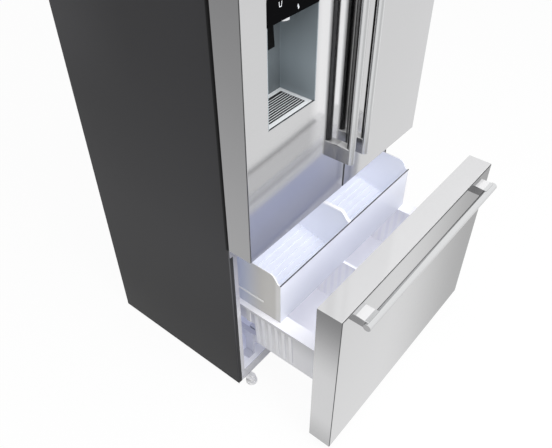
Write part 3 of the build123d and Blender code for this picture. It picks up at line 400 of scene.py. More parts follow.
def handle_steel(name, settings, along, tube_back, level):
    """Satin tube and posts with painted light and shade: bright where they face the room, grey towards the
    side and dark behind.

    tube_back is the y at which the tube ends and the posts begin, and level says which way it runs.
    """
    material, f = begin(name)
    nx, ny, nz = f.facing()
    _, y, _ = f.place()
    grain = f.noise(1.0, 4.0, 0.6, along)
    post = f.span(y, tube_back - 0.002, tube_back)
    top = f.span(nz, 0.6, 0.95)
    side = f.span(abs(nx), 0.90, 0.99)
    metallic = 1.0 - top * 0.75
    if level:
        # Painted reflection and shade: the level tube's back is mid grey and less metallic, and its
        # underside greyer.
        behind = f.span(ny, 0.40, 0.62)
        back_tone = shade(132, 132, 133)
        round_tone = f.blend(f.span(nz, -0.2, 0.75), shade(188, 188, 189), colour(settings.handle))
        top = top * post
        metallic = 1.0 - top * 0.75 - behind * 0.7
    else:
        behind = f.span(ny, 0.02, 0.22)
        back_tone = colour(settings.handle_dark)
        # Painted shade: a darker band where the tube's round turns to the left.
        dip = f.span(nx, -0.8, -0.5) * f.before(nx, -0.3, -0.05)
        round_tone = f.tint(colour(settings.handle), 0.92 - dip * 0.24)
    tone = f.blend(side, round_tone, colour(settings.handle_side))
    tone = f.blend(behind, tone, back_tone)
    tone = f.blend(top, tone, shade(222, 222, 223))
    f.surface(
        Base_Color=f.tint(tone, 1.0 + (grain - 0.5) * 0.06),
        Metallic=metallic,
        Roughness=0.18 + (grain - 0.5) * 0.08,
        Normal=f.bump(grain, 0.05, 0.0001),
    )
    return material


# ---------------------------------------------------------------- mesh tools
EDGE_ANGLE = math.radians(40.0)  # a CAD edge that turns by more is eased
SHARP_ANGLE = 0.6  # an edge of a modelled piece that turns by more is rounded, in radians
SMOOTH_ANGLE = math.radians(35.0)  # an edge that turns by less is shaded smooth


def dress(material, *names):
    """Gives CAD nodes a material."""
    for name in names:
        node = nodes[name]
        node.data.materials.clear()
        node.data.materials.append(material)


def ease(width, *names):
    """Bevels the sharp edges of CAD nodes."""
    for name in names:
        node = nodes[name]
        weld = node.modifiers.new("joined corners", "WELD")
        weld.merge_threshold = 1e-6
        bevel = node.modifiers.new("eased edges", "BEVEL")
        bevel.width = width
        bevel.segments = 2
        bevel.limit_method = "ANGLE"
        bevel.angle_limit = EDGE_ANGLE
        bevel.harden_normals = True
        bevel.use_clamp_overlap = True


def tube(name, points, radius, material, body):
    """A bent tube through points, as a mesh."""
    curve = bpy.data.curves.new(name, "CURVE")
    curve.dimensions = "3D"
    curve.bevel_depth = radius
    curve.bevel_resolution = 5
    curve.resolution_u = 8
    curve.use_fill_caps = True
    spline = curve.splines.new("NURBS")
    spline.points.add(len(points) - 1)
    for point, place in zip(spline.points, points):
        point.co = (*place, 1.0)
    spline.order_u = 3
    spline.use_endpoint_u = True
    made = bpy.data.objects.new(name, curve)
    bpy.context.scene.collection.objects.link(made)
    mesh = bpy.data.meshes.new_from_object(made)
    bpy.data.objects.remove(made)
    return keep(name, mesh, material, body)


def lathe(made, profile, place, axis="Z", steps=20):
    """Adds a turned form; profile is (radius, height) from one end on the axis to the other."""
    turn = {
        "Y": Matrix.Rotation(math.radians(-90.0), 4, "X"),
        "Z": Matrix.Identity(4),
    }[axis]
    spot = Matrix.Translation(place) @ turn
    rings = []
    for radius, height in profile:
        ring = []
        for step in range(steps):
            angle = 2.0 * math.pi * step / steps
            point = Vector((radius * math.cos(angle), radius * math.sin(angle), height))
            ring.append(made.verts.new(spot @ point))
        rings.append(ring)
    for low, high in zip(rings, rings[1:]):
        for i in range(steps):
            made.faces.new((low[i], low[(i + 1) % steps], high[(i + 1) % steps], high[i]))
    made.faces.new(rings[0][::-1])
    made.faces.new(rings[-1])


def prism(made, outline, low, high, axis="Y"):
    """Adds a straight form: an outline in the plane across the axis, from low to high along it."""

    def point(a, b, along):
        return {"X": (along, a, b), "Y": (a, along, b), "Z": (a, b, along)}[axis]

    first = [made.verts.new(point(a, b, low)) for a, b in outline]
    last = [made.verts.new(point(a, b, high)) for a, b in outline]
    count = len(outline)
    made.faces.new(first)
    made.faces.new(last[::-1])
    for i in range(count):
        made.faces.new((first[i], last[i], last[(i + 1) % count], first[(i + 1) % count]))


def panel_outline(x, z, half_width, half_height, corner):
    """A rectangle with round corners, as points."""
    steps = 4
    points = []
    for across, up, start in ((1, 1, 0), (-1, 1, 90), (-1, -1, 180), (1, -1, 270)):
        for step in range(steps + 1):
            angle = math.radians(start + 90.0 * step / steps)
            points.append(
                (
                    x + across * (half_width - corner) + corner * math.cos(angle),
                    z + up * (half_height - corner) + corner * math.sin(angle),
                )
            )
    return points


def as_mesh(name, made):
    """Turns a form into a mesh, with its faces outwards."""
    bmesh.ops.recalc_face_normals(made, faces=made.faces)
    mesh = bpy.data.meshes.new(name)
    made.to_mesh(mesh)
    made.free()
    return mesh


def settle(name, made, width, material, body):
    """Rounds the sharp edges of a form and keeps it as a piece."""
    bmesh.ops.recalc_face_normals(made, faces=made.faces)
    sharp = [e for e in made.edges if len(e.link_faces) == 2 and e.calc_face_angle() > SHARP_ANGLE]
    if width and sharp:
        bmesh.ops.bevel(
            made,
            geom=sharp,
            offset=width,
            segments=2,
            profile=0.5,
            affect="EDGES",
            clamp_overlap=True,
        )
    mesh = as_mesh(name, made)
    piece = keep(name, mesh, material, body)
    mesh.set_sharp_from_angle(angle=SMOOTH_ANGLE)
    return piece


def keep(name, mesh, material, body, smooth=True):
    """Links a finished mesh as a piece that rides on a body."""
    piece = bpy.data.objects.new(name, mesh)
    bpy.context.scene.collection.objects.link(piece)
    mesh.materials.clear()
    mesh.materials.append(material)
    if smooth:
        mesh.shade_smooth()
    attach(piece, body)
    return piece


# ---------------------------------------------------------------- settings
def colour_setting(name, description, default):
    """A colour that a user can change."""
    return FloatVectorProperty(
        name=name,
        description=description,
        subtype="COLOR",
        size=3,
        min=0.0,
        max=1.0,
        default=default,
    )


class RefrigeratorCaseSettings(bpy.types.PropertyGroup):
    paint: colour_setting("Case paint", "Colour of the painted sides and top", shade(54, 54, 56))
    liner: colour_setting("Liner", "Colour of the moulded inner skins", shade(244, 245, 250))
    flange: colour_setting(
        "Front flange", "Colour of the painted frame around the compartments", shade(224, 224, 228)
    )


class RefrigeratorSteelSettings(bpy.types.PropertyGroup):
    front: colour_setting("Front", "Colour of the brushed fronts", shade(204, 204, 205))
    top: colour_setting("Top", "Colour of the upper edges", shade(199, 199, 200))
    # The side returns grade between the next two colours with height, as painted reflection.
    side_high: colour_setting(
        "Side, upper end", "Colour of the side returns at their upper end", shade(124, 124, 125)
    )
    side_low: colour_setting(
        "Side, lower end", "Colour of the side returns at their lower end", shade(158, 158, 159)
    )
    # The dark bend is painted shade.
    bend: colour_setting("Bend", "Colour of the folded edges", shade(70, 70, 71))
    roughness: FloatProperty(
        name="Roughness",
        description="How much the brushed fronts blur what they mirror",
        subtype="FACTOR",
        default=0.085,
        min=0.0,
        max=1.0,
    )
    crown: FloatProperty(
        name="Crown",
        description="How strongly the door fronts bulge across their width",
        default=0.06,
        min=0.0,
        max=1.0,
    )
    handle: colour_setting("Handles", "Colour of the handle tubes and posts", shade(222, 223, 224))
    # The next two handle colours are painted shade.
    handle_dark: colour_setting(
        "Handles, backs", "Colour of the sides of the handles that face the door", shade(84, 84, 85)
    )
    handle_side: colour_setting(
        "Handles, post sides", "Colour of the left and right sides of the posts", shade(168, 168, 169)
    )


class RefrigeratorFreezerSettings(bpy.types.PropertyGroup):
    basket: colour_setting("Basket", "Colour of the basket's plastic", shade(249, 249, 252))
    tray: colour_setting("Tray", "Tint of the sliding tray", shade(246, 248, 255))
    clarity: FloatProperty(
        name="Tray clarity",
        description="Share of the light that passes through the tray",
        subtype="FACTOR",
        default=0.0,
        min=0.0,
        max=1.0,
    )


class RefrigeratorDispenserSettings(bpy.types.PropertyGroup):
    niche: colour_setting("Niche", "Colour of the dispenser's recess", shade(150, 160, 166))
    panel: colour_setting("Control panel", "Colour of the glossy control panel", shade(12, 12, 13))


class RefrigeratorStageSettings(bpy.types.PropertyGroup):
    floor: colour_setting("Floor", "Colour of the floor", shade(246, 246, 246))
    ambient: FloatProperty(
        name="Ambient light",
        description="Strength of the even light from all round",
        default=0.45,
        min=0.0,
        max=2.0,
    )


GROUPS = {
    "refrigerator_case": RefrigeratorCaseSettings,
    "refrigerator_steel": RefrigeratorSteelSettings,
    "refrigerator_freezer": RefrigeratorFreezerSettings,
    "refrigerator_dispenser": RefrigeratorDispenserSettings,
    "refrigerator_stage": RefrigeratorStageSettings,
}


# ---------------------------------------------------------------- the stage
WHITE = (1.0, 1.0, 1.0, 1.0)
PHOTO_WIDTH, PHOTO_HEIGHT = 552.0, 448.0  # pixels
FOCAL_LENGTH = 606.14  # pixels
PICTURE_CENTRE = (282.3, 239.68)  # where the camera's axis meets the picture, in pixels
SENSOR_WIDTH = 36.0  # millimetres
CAMERA_ANGLES = (51.25, -43.19, 0.11)  # from +Y towards +X, upwards, and about its axis, in degrees
CAMERA_PLACE = (-1.3385, -0.9915, 1.9374)


class REFRIGERATOR_OT_stage(bpy.types.Operator):
    """Set the floor, the studio light and the camera"""

    bl_idname = "refrigerator.stage"
    bl_label = "Stage"

    def execute(self, context):
        settings = context.scene.refrigerator_stage
        self.floor(settings)
        self.world(context, settings)
        self.lamps()
        self.camera(context)
        context.scene.view_settings.view_transform = "Standard"
        return {"FINISHED"}

    def floor(self, settings):
        mesh = bpy.data.meshes.new("studio_floor")
        reach = 9.0
        corners = [(-reach, -reach, 0), (reach, -reach, 0), (reach, reach, 0), (-reach, reach, 0)]
        mesh.from_pydata(corners, [], [(0, 1, 2, 3)])
        material, f = begin("studio_floor")
        matt = f.node("ShaderNodeBsdfDiffuse", sockets={"Color": colour(settings.floor)})
        glow = f.node("ShaderNodeEmission", sockets={"Color": WHITE, "Strength": 1.0})
        white_share = 0.95  # the rest of what is seen takes the shadow
        mixed = f.node("ShaderNodeMixShader", sockets={0: f.seen() * white_share, 1: matt, 2: glow})
        f.node("ShaderNodeOutputMaterial", sockets={"Surface": mixed})
        mesh.materials.append(material)
        floor = bpy.data.objects.new("studio_floor", mesh)
        bpy.context.scene.collection.objects.link(floor)

    def world(self, context, settings):
        world = bpy.data.worlds.new("studio")
        world.use_nodes = True
        context.scene.world = world
        f = Finish(world.node_tree)
        strength = f.seen() * (1.0 - settings.ambient) + settings.ambient
        glow = f.node("ShaderNodeBackground", sockets={"Color": WHITE, "Strength": strength})
        f.node("ShaderNodeOutputWorld", sockets={"Surface": glow})

    def lamps(self):
        lamps = (
            ("key_lamp", (-0.2, -1.2, 3.9), (0.0, -0.45, 0.4), 2.4, 70.0),
            ("front_lamp", (-0.4, -2.9, 3.4), (0.0, -0.2, 0.6), 2.0, 75.0),
            ("fill_lamp", (-1.2, -3.9, 1.5), (0.0, -0.2, 0.6), 2.6, 30.0),
        )
        for name, place, aim, size, power in lamps:
            lamp = bpy.data.lights.new(name, "AREA")
            lamp.shape = "SQUARE"
            lamp.size = size
            lamp.energy = power
            made = bpy.data.objects.new(name, lamp)
            made.location = place
            made.rotation_euler = (Vector(aim) - Vector(place)).to_track_quat("-Z", "Y").to_euler()
            made.visible_glossy = False
            bpy.context.scene.collection.objects.link(made)

    def camera(self, context):
        yaw, pitch, roll = (math.radians(angle) for angle in CAMERA_ANGLES)
        level = math.cos(pitch)
        ahead = Vector((math.sin(yaw) * level, math.cos(yaw) * level, math.sin(pitch)))
        right = Vector((math.cos(yaw), -math.sin(yaw), 0.0))
        up = right.cross(ahead)
        turned_right = right * math.cos(roll) + up * math.sin(roll)
        turned_up = up * math.cos(roll) - right * math.sin(roll)
        camera = bpy.data.cameras.new("camera")
        camera.sensor_width = SENSOR_WIDTH
        camera.lens = FOCAL_LENGTH / PHOTO_WIDTH * SENSOR_WIDTH
        camera.shift_x = (PHOTO_WIDTH / 2 - PICTURE_CENTRE[0]) / PHOTO_WIDTH
        camera.shift_y = (PICTURE_CENTRE[1] - PHOTO_HEIGHT / 2) / PHOTO_WIDTH
        made = bpy.data.objects.new("camera", camera)
        bpy.context.scene.collection.objects.link(made)
        matrix = Matrix((turned_right, turned_up, -ahead)).transposed().to_4x4()
        matrix.translation = Vector(CAMERA_PLACE)
        made.matrix_world = matrix
        context.scene.camera = made


# ---------------------------------------------------------------- the case
class REFRIGERATOR_OT_case(bpy.types.Operator):
    """Finish the painted case, its flange and its foam"""

    bl_idname = "refrigerator.case"
    bl_label = "Case"

    def execute(self, context):
        settings = context.scene.refrigerator_case
        foot_tone = shade(246, 246, 246)
        pan = painted_sheet("base_sheet", shade(176, 178, 181), 0.42, 0.15, 0.55, foot_tone)
        dress(self.paint(settings), "side_panel_left", "side_panel_right", "top_panel")
        dress(self.rear(), "rear_panel", "machine_cover")
        dress(pan, "base_pan")
        dress(self.flange(settings), "front_flange", "centre_hinges")
        dress(moulded_plastic("foam", shade(222, 205, 150), 0.9, 0.8, 500.0), "cabinet_insulation")
        self.hem()
        return {"FINISHED"}

    def hem(self):
        """Black edge strip along the folded foot of each side panel, a dark piece that stands for the shade
        at the foot.
        """
        # Painted shadow: a near-black strip at the foot of each side panel.
        black = moulded_plastic("hem_black", shade(20, 20, 21), 0.5, 0.2)
        below, above, thickness, setback = 0.005, 0.001, 0.0016, 0.001
        for name, side in (("left", -1), ("right", 1)):
            low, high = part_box(f"side_panel_{name}")
            bottom, top = low.z - below, low.z + above
            outer = low.x if side < 0 else high.x
            near, far = sorted((outer, outer - side * thickness))
            outline = [(near, bottom), (far, bottom), (far, top), (near, top)]
            made = bmesh.new()
            prism(made, outline, low.y + setback, high.y)
            settle(f"side_hem_{name}", made, 0.0004, black, "cabinet")

    def rear(self):
        """Galvanised sheet with spangle, pressed beads and a raised border; painted shade darkens the
        grooves.
        """
        material, f = begin("rear_sheet")
        x, _, z = f.place()
        spangle = f.cells(46.0)
        wide = f.noise(2.4, 3.0)
        middle, border_half_width, border_half_height = 0.99, 0.405, 0.70
        bead_start, bead_pitch, bead_offset = 0.53, 0.46, 0.17
        cover_top = 0.262

        def beside(distance):
            """0 in a pressed line and 1 beside it, by the distance from its centre line."""
            return f.span(abs(distance), 0.003, 0.007)

        up = abs(z - middle)
        border = beside(abs(x) - border_half_width) * beside(up - border_half_height)
        beads = beside(abs((z - bead_start) % bead_pitch - bead_pitch / 2) - bead_offset)
        within = (abs(x) < border_half_width + 0.007) * (up < border_half_height + 0.007)
        field = (abs(x) < 0.36) * (up < 0.66)
        groove = ((1.0 - border) * within + (1.0 - beads) * field).clamped() * (z > cover_top)
        mottle = (spangle - 0.4) * 0.10 + (wide - 0.5) * 0.12
        # The colour is darker in the grooves of the beads and border, as painted shade.
        f.surface(
            Base_Color=f.tint(shade(182, 184, 187), 0.93 + mottle - groove * 0.16),
            Metallic=0.5,
            Roughness=0.40 + (spangle - 0.4) * 0.14,
            Normal=f.bump(groove * -1.0, 0.6, 0.002),
        )
        return material

    def flange(self, settings):
        """White paint with painted cool shade above the freezer and painted grey shade near the floor."""
        material, f = begin("white_paint")
        _, _, z = f.place()
        pebble = f.noise(420.0, 2.0)
        wide = f.noise(3.0, 2.0)
        # Painted shade: a cool darker tone under the doors, and a greyer tone near the floor.
        painted_cool_shade = f.span(z, 0.36, 0.50) * f.before(z, 0.70, 0.72)
        greyer = f.tint(colour(settings.flange), 0.80)
        tone = f.blend(f.span(z, 0.36, 0.40), greyer, colour(settings.flange))
        tone = f.blend(painted_cool_shade, tone, shade(172, 172, 182))
        f.surface(
            Base_Color=f.tint(tone, 0.97 + (wide - 0.5) * 0.08),
            Roughness=0.40 + (wide - 0.5) * 0.08,
            Normal=f.bump(pebble, 0.2, 0.0003),
        )
        return material

    def paint(self, settings):
        """Dark textured paint with a painted highlight along the front fold and painted shade towards the
        floor.

        Painted shadow makes it black beside the doors' gap and in the hem at the foot.
        """
        material, f = begin("case_paint")
        _, y, z = f.place()
        nx, _, _ = f.facing()
        pebble = f.noise(420.0, 2.0)
        wide = f.noise(2.2, 2.0)
        # Painted highlight along the rounded front fold.
        fold = f.span(abs(nx), 0.30, 0.75) * f.before(abs(nx), 0.86, 0.995)
        # Painted shade: darker towards the floor and towards the back, with painted light on the upper
        # back.
        painted_shade_falloff = f.span(z, 0.15, 0.72, 0.52, 1.2) * f.span(y, depth(50.0), depth(560.0), 1.0, 0.8)
        upper_back = f.span(z, 1.0, 1.28) * f.span(y, depth(280.0), depth(600.0))
        # Painted shadow: nearly black in a band beside the doors' gap and at the very foot.
        gap = f.before(y, depth(9.0), depth(12.5)) * f.span(z, 0.700, 0.706)
        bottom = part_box("side_panel_left")[0].z
        hem = f.before(z, bottom + 0.0035, bottom + 0.0055)
        painted_shadow_lines = 1.0 - (gap + hem).clamped() * 0.93
        light = painted_shade_falloff * (1.0 + upper_back * 0.5) * painted_shadow_lines
        f.surface(
            Base_Color=f.tint(colour(settings.paint), light * (0.96 + (wide - 0.5) * 0.14 + fold * 1.6)),
            Roughness=0.38 + (wide - 0.5) * 0.08,
            Specular_IOR_Level=0.1,
            Normal=f.bump(pebble, 0.25, 0.0003),
        )
        return material


class REFRIGERATOR_OT_compartments(bpy.types.Operator):
    """Finish the liners, shelves, crispers, lamp and door bins"""

    bl_idname = "refrigerator.compartments"
    bl_label = "Compartments"

    def execute(self, context):
        settings = context.scene.refrigerator_case
        liner = moulded_plastic("liner_white", settings.liner, 0.35, 0.1)
        # Painted shade: the door liners take a darker copy of the liner colour so they don't go white under
        # the lamps.
        greyer = tuple(c * 0.68 for c in settings.liner)
        door_liner = moulded_plastic("liner_white_doors", greyer, 0.35, 0.1)
        dress(liner, "fridge_liner")
        dress(self.cold_liner(settings), "freezer_liner", "evaporator_cover")
        dress(door_liner, "door_left_liner", "door_right_liner")
        dress(self.drawer_inner(settings), "drawer_liner")
        dress(clear_plastic("shelf_glass", shade(236, 244, 241), 0.03, 0.95), "shelf_glass")
        trim = moulded_plastic("trim_white", shade(232, 233, 235), 0.3, 0.1)
        dress(trim, "shelf_frames")
        dress(moulded_plastic("flap_grey", shade(178, 179, 182), 0.4, 0.1), "centre_flap")
        crisper = clear_plastic("crisper_clear", shade(232, 238, 245), 0.08, 0.8)
        dress(crisper, "crisper_left", "crisper_right")
        bins = clear_plastic("bin_clear", shade(236, 240, 246), 0.06, 0.85)
        dress(bins, "door_bins_left", "door_bins_right")
        dress(self.lens(), "ceiling_lamp")
        self.air_outlets(liner)
        self.freezer_lens()
        self.crisper_sliders(trim)
        self.filter_cap(trim)
        return {"FINISHED"}

    def cold_liner(self, settings):
        """White skin of the freezer with a painted glow: cool inside and neutral on its floor at the front.
        """
        material, f = begin("liner_white_cold")
        x, y, z = f.place()
        flow, spark = mould_marks(f)
        sill = f.before(z, 0.10, 0.13) * f.before(y, depth(10.0), depth(90.0))
        inner_face = 0.420
        inside = f.before(abs(x), inner_face - 0.0006, inner_face)
        # Painted glow: cool inside the freezer, neutral on the sill at the front.
        glow = f.blend(sill, shade(182, 186, 214), shade(208, 208, 206))
        f.surface(
            Base_Color=f.tint(colour(settings.liner), 0.98 + (flow - 0.5) * 0.06),
            Roughness=mould_gloss(0.35, flow, spark),
            Normal=f.bump(spark, 0.1, 0.0002),
            Emission_Color=f.tint(glow, inside),
            Emission_Strength=0.17,
        )
        return material

    def drawer_inner(self, settings):
        """White skin of the drawer, with a painted reflection of the basket's light glowing on its inner
        face.

        The painted glow is neutral above the tray's edge, cool below it and brighter along it.
        """
        material, f = begin("liner_white_drawer")
        _, _, z = f.place()
        _, ny, nz = f.facing()
        flow = f.noise(6.0, 2.0, stretch=(1.0, 1.0, 0.35))
        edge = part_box("upper_tray")[1].z
        above = f.span(z, edge + 0.004, edge + 0.010)
        line = f.span(z, edge - 0.002, edge + 0.004) * f.before(z, edge + 0.006, edge + 0.013)
        cool = f.tint((0.125, 0.148, 0.265), f.span(z, 0.44, 0.58, 0.45, 1.0))
        neutral = (0.30, 0.30, 0.295)
        # Painted reflection: a glow on the faces that look inwards.
        glow = f.blend(above, cool, neutral)
        inwards = f.span(ny + nz, 0.5, 0.9)
        f.surface(
            Base_Color=f.tint(colour(settings.liner), 0.84 + (flow - 0.5) * 0.05),
            Roughness=0.35 + (flow - 0.5) * 0.1,
            Emission_Color=f.tint(glow, inwards * (1.0 + line * 0.4)),
            Emission_Strength=1.0,
        )
        return material

    def lens(self):
        """Prismatic lamp lens with fine ribs across it."""
        material, f = begin("lamp_lens")
        x, _, _ = f.place()
        flow = f.noise(8.0, 2.0)
        ribs_per_metre = 200.0
        ribs = abs((x * ribs_per_metre) % 1.0 - 0.5)
        f.surface(
            Base_Color=f.tint(shade(248, 248, 240), 0.96 + (flow - 0.5) * 0.06),
            Roughness=0.22 + (flow - 0.5) * 0.08,
            Normal=f.bump(ribs, 0.6, 0.001),
            Emission_Color=shade(255, 252, 240),
            Emission_Strength=0.15,
        )
        return material

    def air_outlets(self, liner):
        """Air duct covers on the back wall between the shelves.

        Each has hooded outlets on both sides of a raised middle.
        """
        dark = moulded_plastic("duct_shadow", shade(120, 124, 130), 0.6, 0.2)
        sunk, cover, raised = 0.0033, 0.012, 0.018  # into the wall, and out of it
        row_pitch, outlet_x, outlet_half = 0.062, 0.063, 0.015
        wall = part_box("fridge_liner")[1].y - sunk
        face = wall - cover
        covers = (("low", 1.064, 0.072, 2), ("middle", 1.310, 0.068, 2), ("high", 1.594, 0.098, 3))
        for name, middle, half, rows in covers:
            made = bmesh.new()
            prism(made, panel_outline(0.0, middle, 0.085, half, 0.02), wall, face)
            pad = panel_outline(0.0, middle, 0.040, half - 0.012, 0.014)
            prism(made, pad, face + 0.001, wall - raised)
            heights = [middle + (row - (rows - 1) / 2) * row_pitch for row in range(rows)]
            outlets = [(side * outlet_x, height) for height in heights for side in (-1, 1)]
            for x, height in outlets:
                hood = [(face + 0.0005, height), (face - 0.0055, height + 0.004)]
                hood += [(face - 0.0055, height + 0.007), (face + 0.0005, height + 0.016)]
                prism(made, hood, x - outlet_half, x + outlet_half, "X")
            settle(f"duct_cover_{name}", made, 0.0014, liner, "cabinet")
            made = bmesh.new()
            for x, height in outlets:
                mouth = panel_outline(x, height - 0.008, outlet_half - 0.001, 0.005, 0.003)
                prism(made, mouth, face + 0.0008, face - 0.0004)
            settle(f"duct_mouths_{name}", made, 0.0, dark, "cabinet")

    def freezer_lens(self):
        """Lamp lens in the freezer's ceiling, near the front."""
        made = bmesh.new()
        y, frame_bottom = depth(72.0), 0.6495
        prism(made, panel_outline(0.0, y, 0.085, 0.012, 0.006), frame_bottom, frame_bottom + 0.006, "Z")
        pane = panel_outline(0.0, y, 0.076, 0.008, 0.004)
        prism(made, pane, frame_bottom - 0.0017, frame_bottom + 0.0005, "Z")
        settle("freezer_lens", made, 0.0012, bpy.data.materials["lamp_lens"], "cabinet")

    def crisper_sliders(self, trim):
        """Humidity slider on the front of the cover over each crisper, with three ridges on its grip."""
        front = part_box("shelf_frames")[0].y
        root, tip, crest = front - 0.002, front - 0.0075, front - 0.0086
        grip = [(root, 0.9665), (tip, 0.9675), (tip, 0.9715), (root, 0.9725)]
        ridge = [(front - 0.0070, 0.9672), (crest, 0.9695), (front - 0.0070, 0.9718)]
        grip_half, ridge_half, ridge_pitch = 0.012, 0.0012, 0.006
        for name, x in (("left", -0.208), ("right", 0.208)):
            made = bmesh.new()
            plate = panel_outline(x, 0.969, 0.048, 0.0045, 0.002)
            prism(made, plate, front - 0.0022, front + 0.001)
            prism(made, grip, x - grip_half, x + grip_half, "X")
            for step in (-1, 0, 1):
                middle = x + step * ridge_pitch
                prism(made, ridge, middle - ridge_half, middle + ridge_half, "X")
            settle(f"crisper_slider_{name}", made, 0.0005, trim, "cabinet")

    def filter_cap(self, trim):
        """Twist cap of the water filter in the compartment's ceiling, with a grip bar."""
        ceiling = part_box("ceiling_lamp")[1].z
        x, y = 0.30, depth(230.0)
        root, tip, bar_half = ceiling - 0.008, ceiling - 0.017, 0.021
        profile = [(0.030, 0.0), (0.032, -0.002), (0.032, -0.009), (0.029, -0.012)]
        profile += [(0.022, -0.012), (0.020, -0.009), (0.004, -0.009)]
        bar = [(x - 0.0045, root), (x - 0.0035, tip), (x + 0.0035, tip), (x + 0.0045, root)]
        made = bmesh.new()
        lathe(made, profile, (x, y, ceiling), steps=36)
        prism(made, bar, y - bar_half, y + bar_half)
        settle("filter_cap", made, 0.0008, trim, "cabinet")


class REFRIGERATOR_OT_doors(bpy.types.Operator):
    """Finish the steel fronts, the gaskets and the hinges"""

    bl_idname = "refrigerator.doors"
    bl_label = "Doors"

    def execute(self, context):
        settings = context.scene.refrigerator_steel
        dress(door_steel("stainless", settings, True), "door_left_skin", "door_right_skin")
        dress(door_steel("stainless_drawer", settings, False), "drawer_skin")
        rubber = moulded_plastic("gasket_rubber", shade(150, 150, 152), 0.7, 0.4, 300.0)
        dress(rubber, "door_left_gasket", "door_right_gasket")
        # Painted glow on the drawer's gasket.
        lit = (0.5, 0.22, shade(255, 255, 252))
        pale = moulded_plastic("gasket_pale", shade(208, 208, 210), 0.7, 0.4, 300.0, inner=lit)
        dress(pale, "drawer_gasket")
        dress(brushed_metal("hinge_steel", shade(150, 151, 153), 0.35), "top_hinges", "screws")
        dark = moulded_plastic("dark_plastic", shade(52, 52, 54), 0.45, 0.35)
        dress(dark, "hinge_covers", "condenser_fan_housing", "drain_pan", "power_inlet")
        return {"FINISHED"}


class REFRIGERATOR_OT_handles(bpy.types.Operator):
    """Finish the three handles"""

    bl_idname = "refrigerator.handles"
    bl_label = "Handles"

    def execute(self, context):
        settings = context.scene.refrigerator_steel
        diameter = 0.026  # of the tubes
        across, along = 900.0, 6.0
        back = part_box("handle_left")[0].y + diameter
        upright = handle_steel("handle_steel", settings, (across, across, along), back, False)
        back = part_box("drawer_handle")[0].y + diameter
        level = handle_steel("handle_steel_level", settings, (along, across, across), back, True)
        dress(upright, "handle_left", "handle_right")
        dress(level, "drawer_handle")
        return {"FINISHED"}


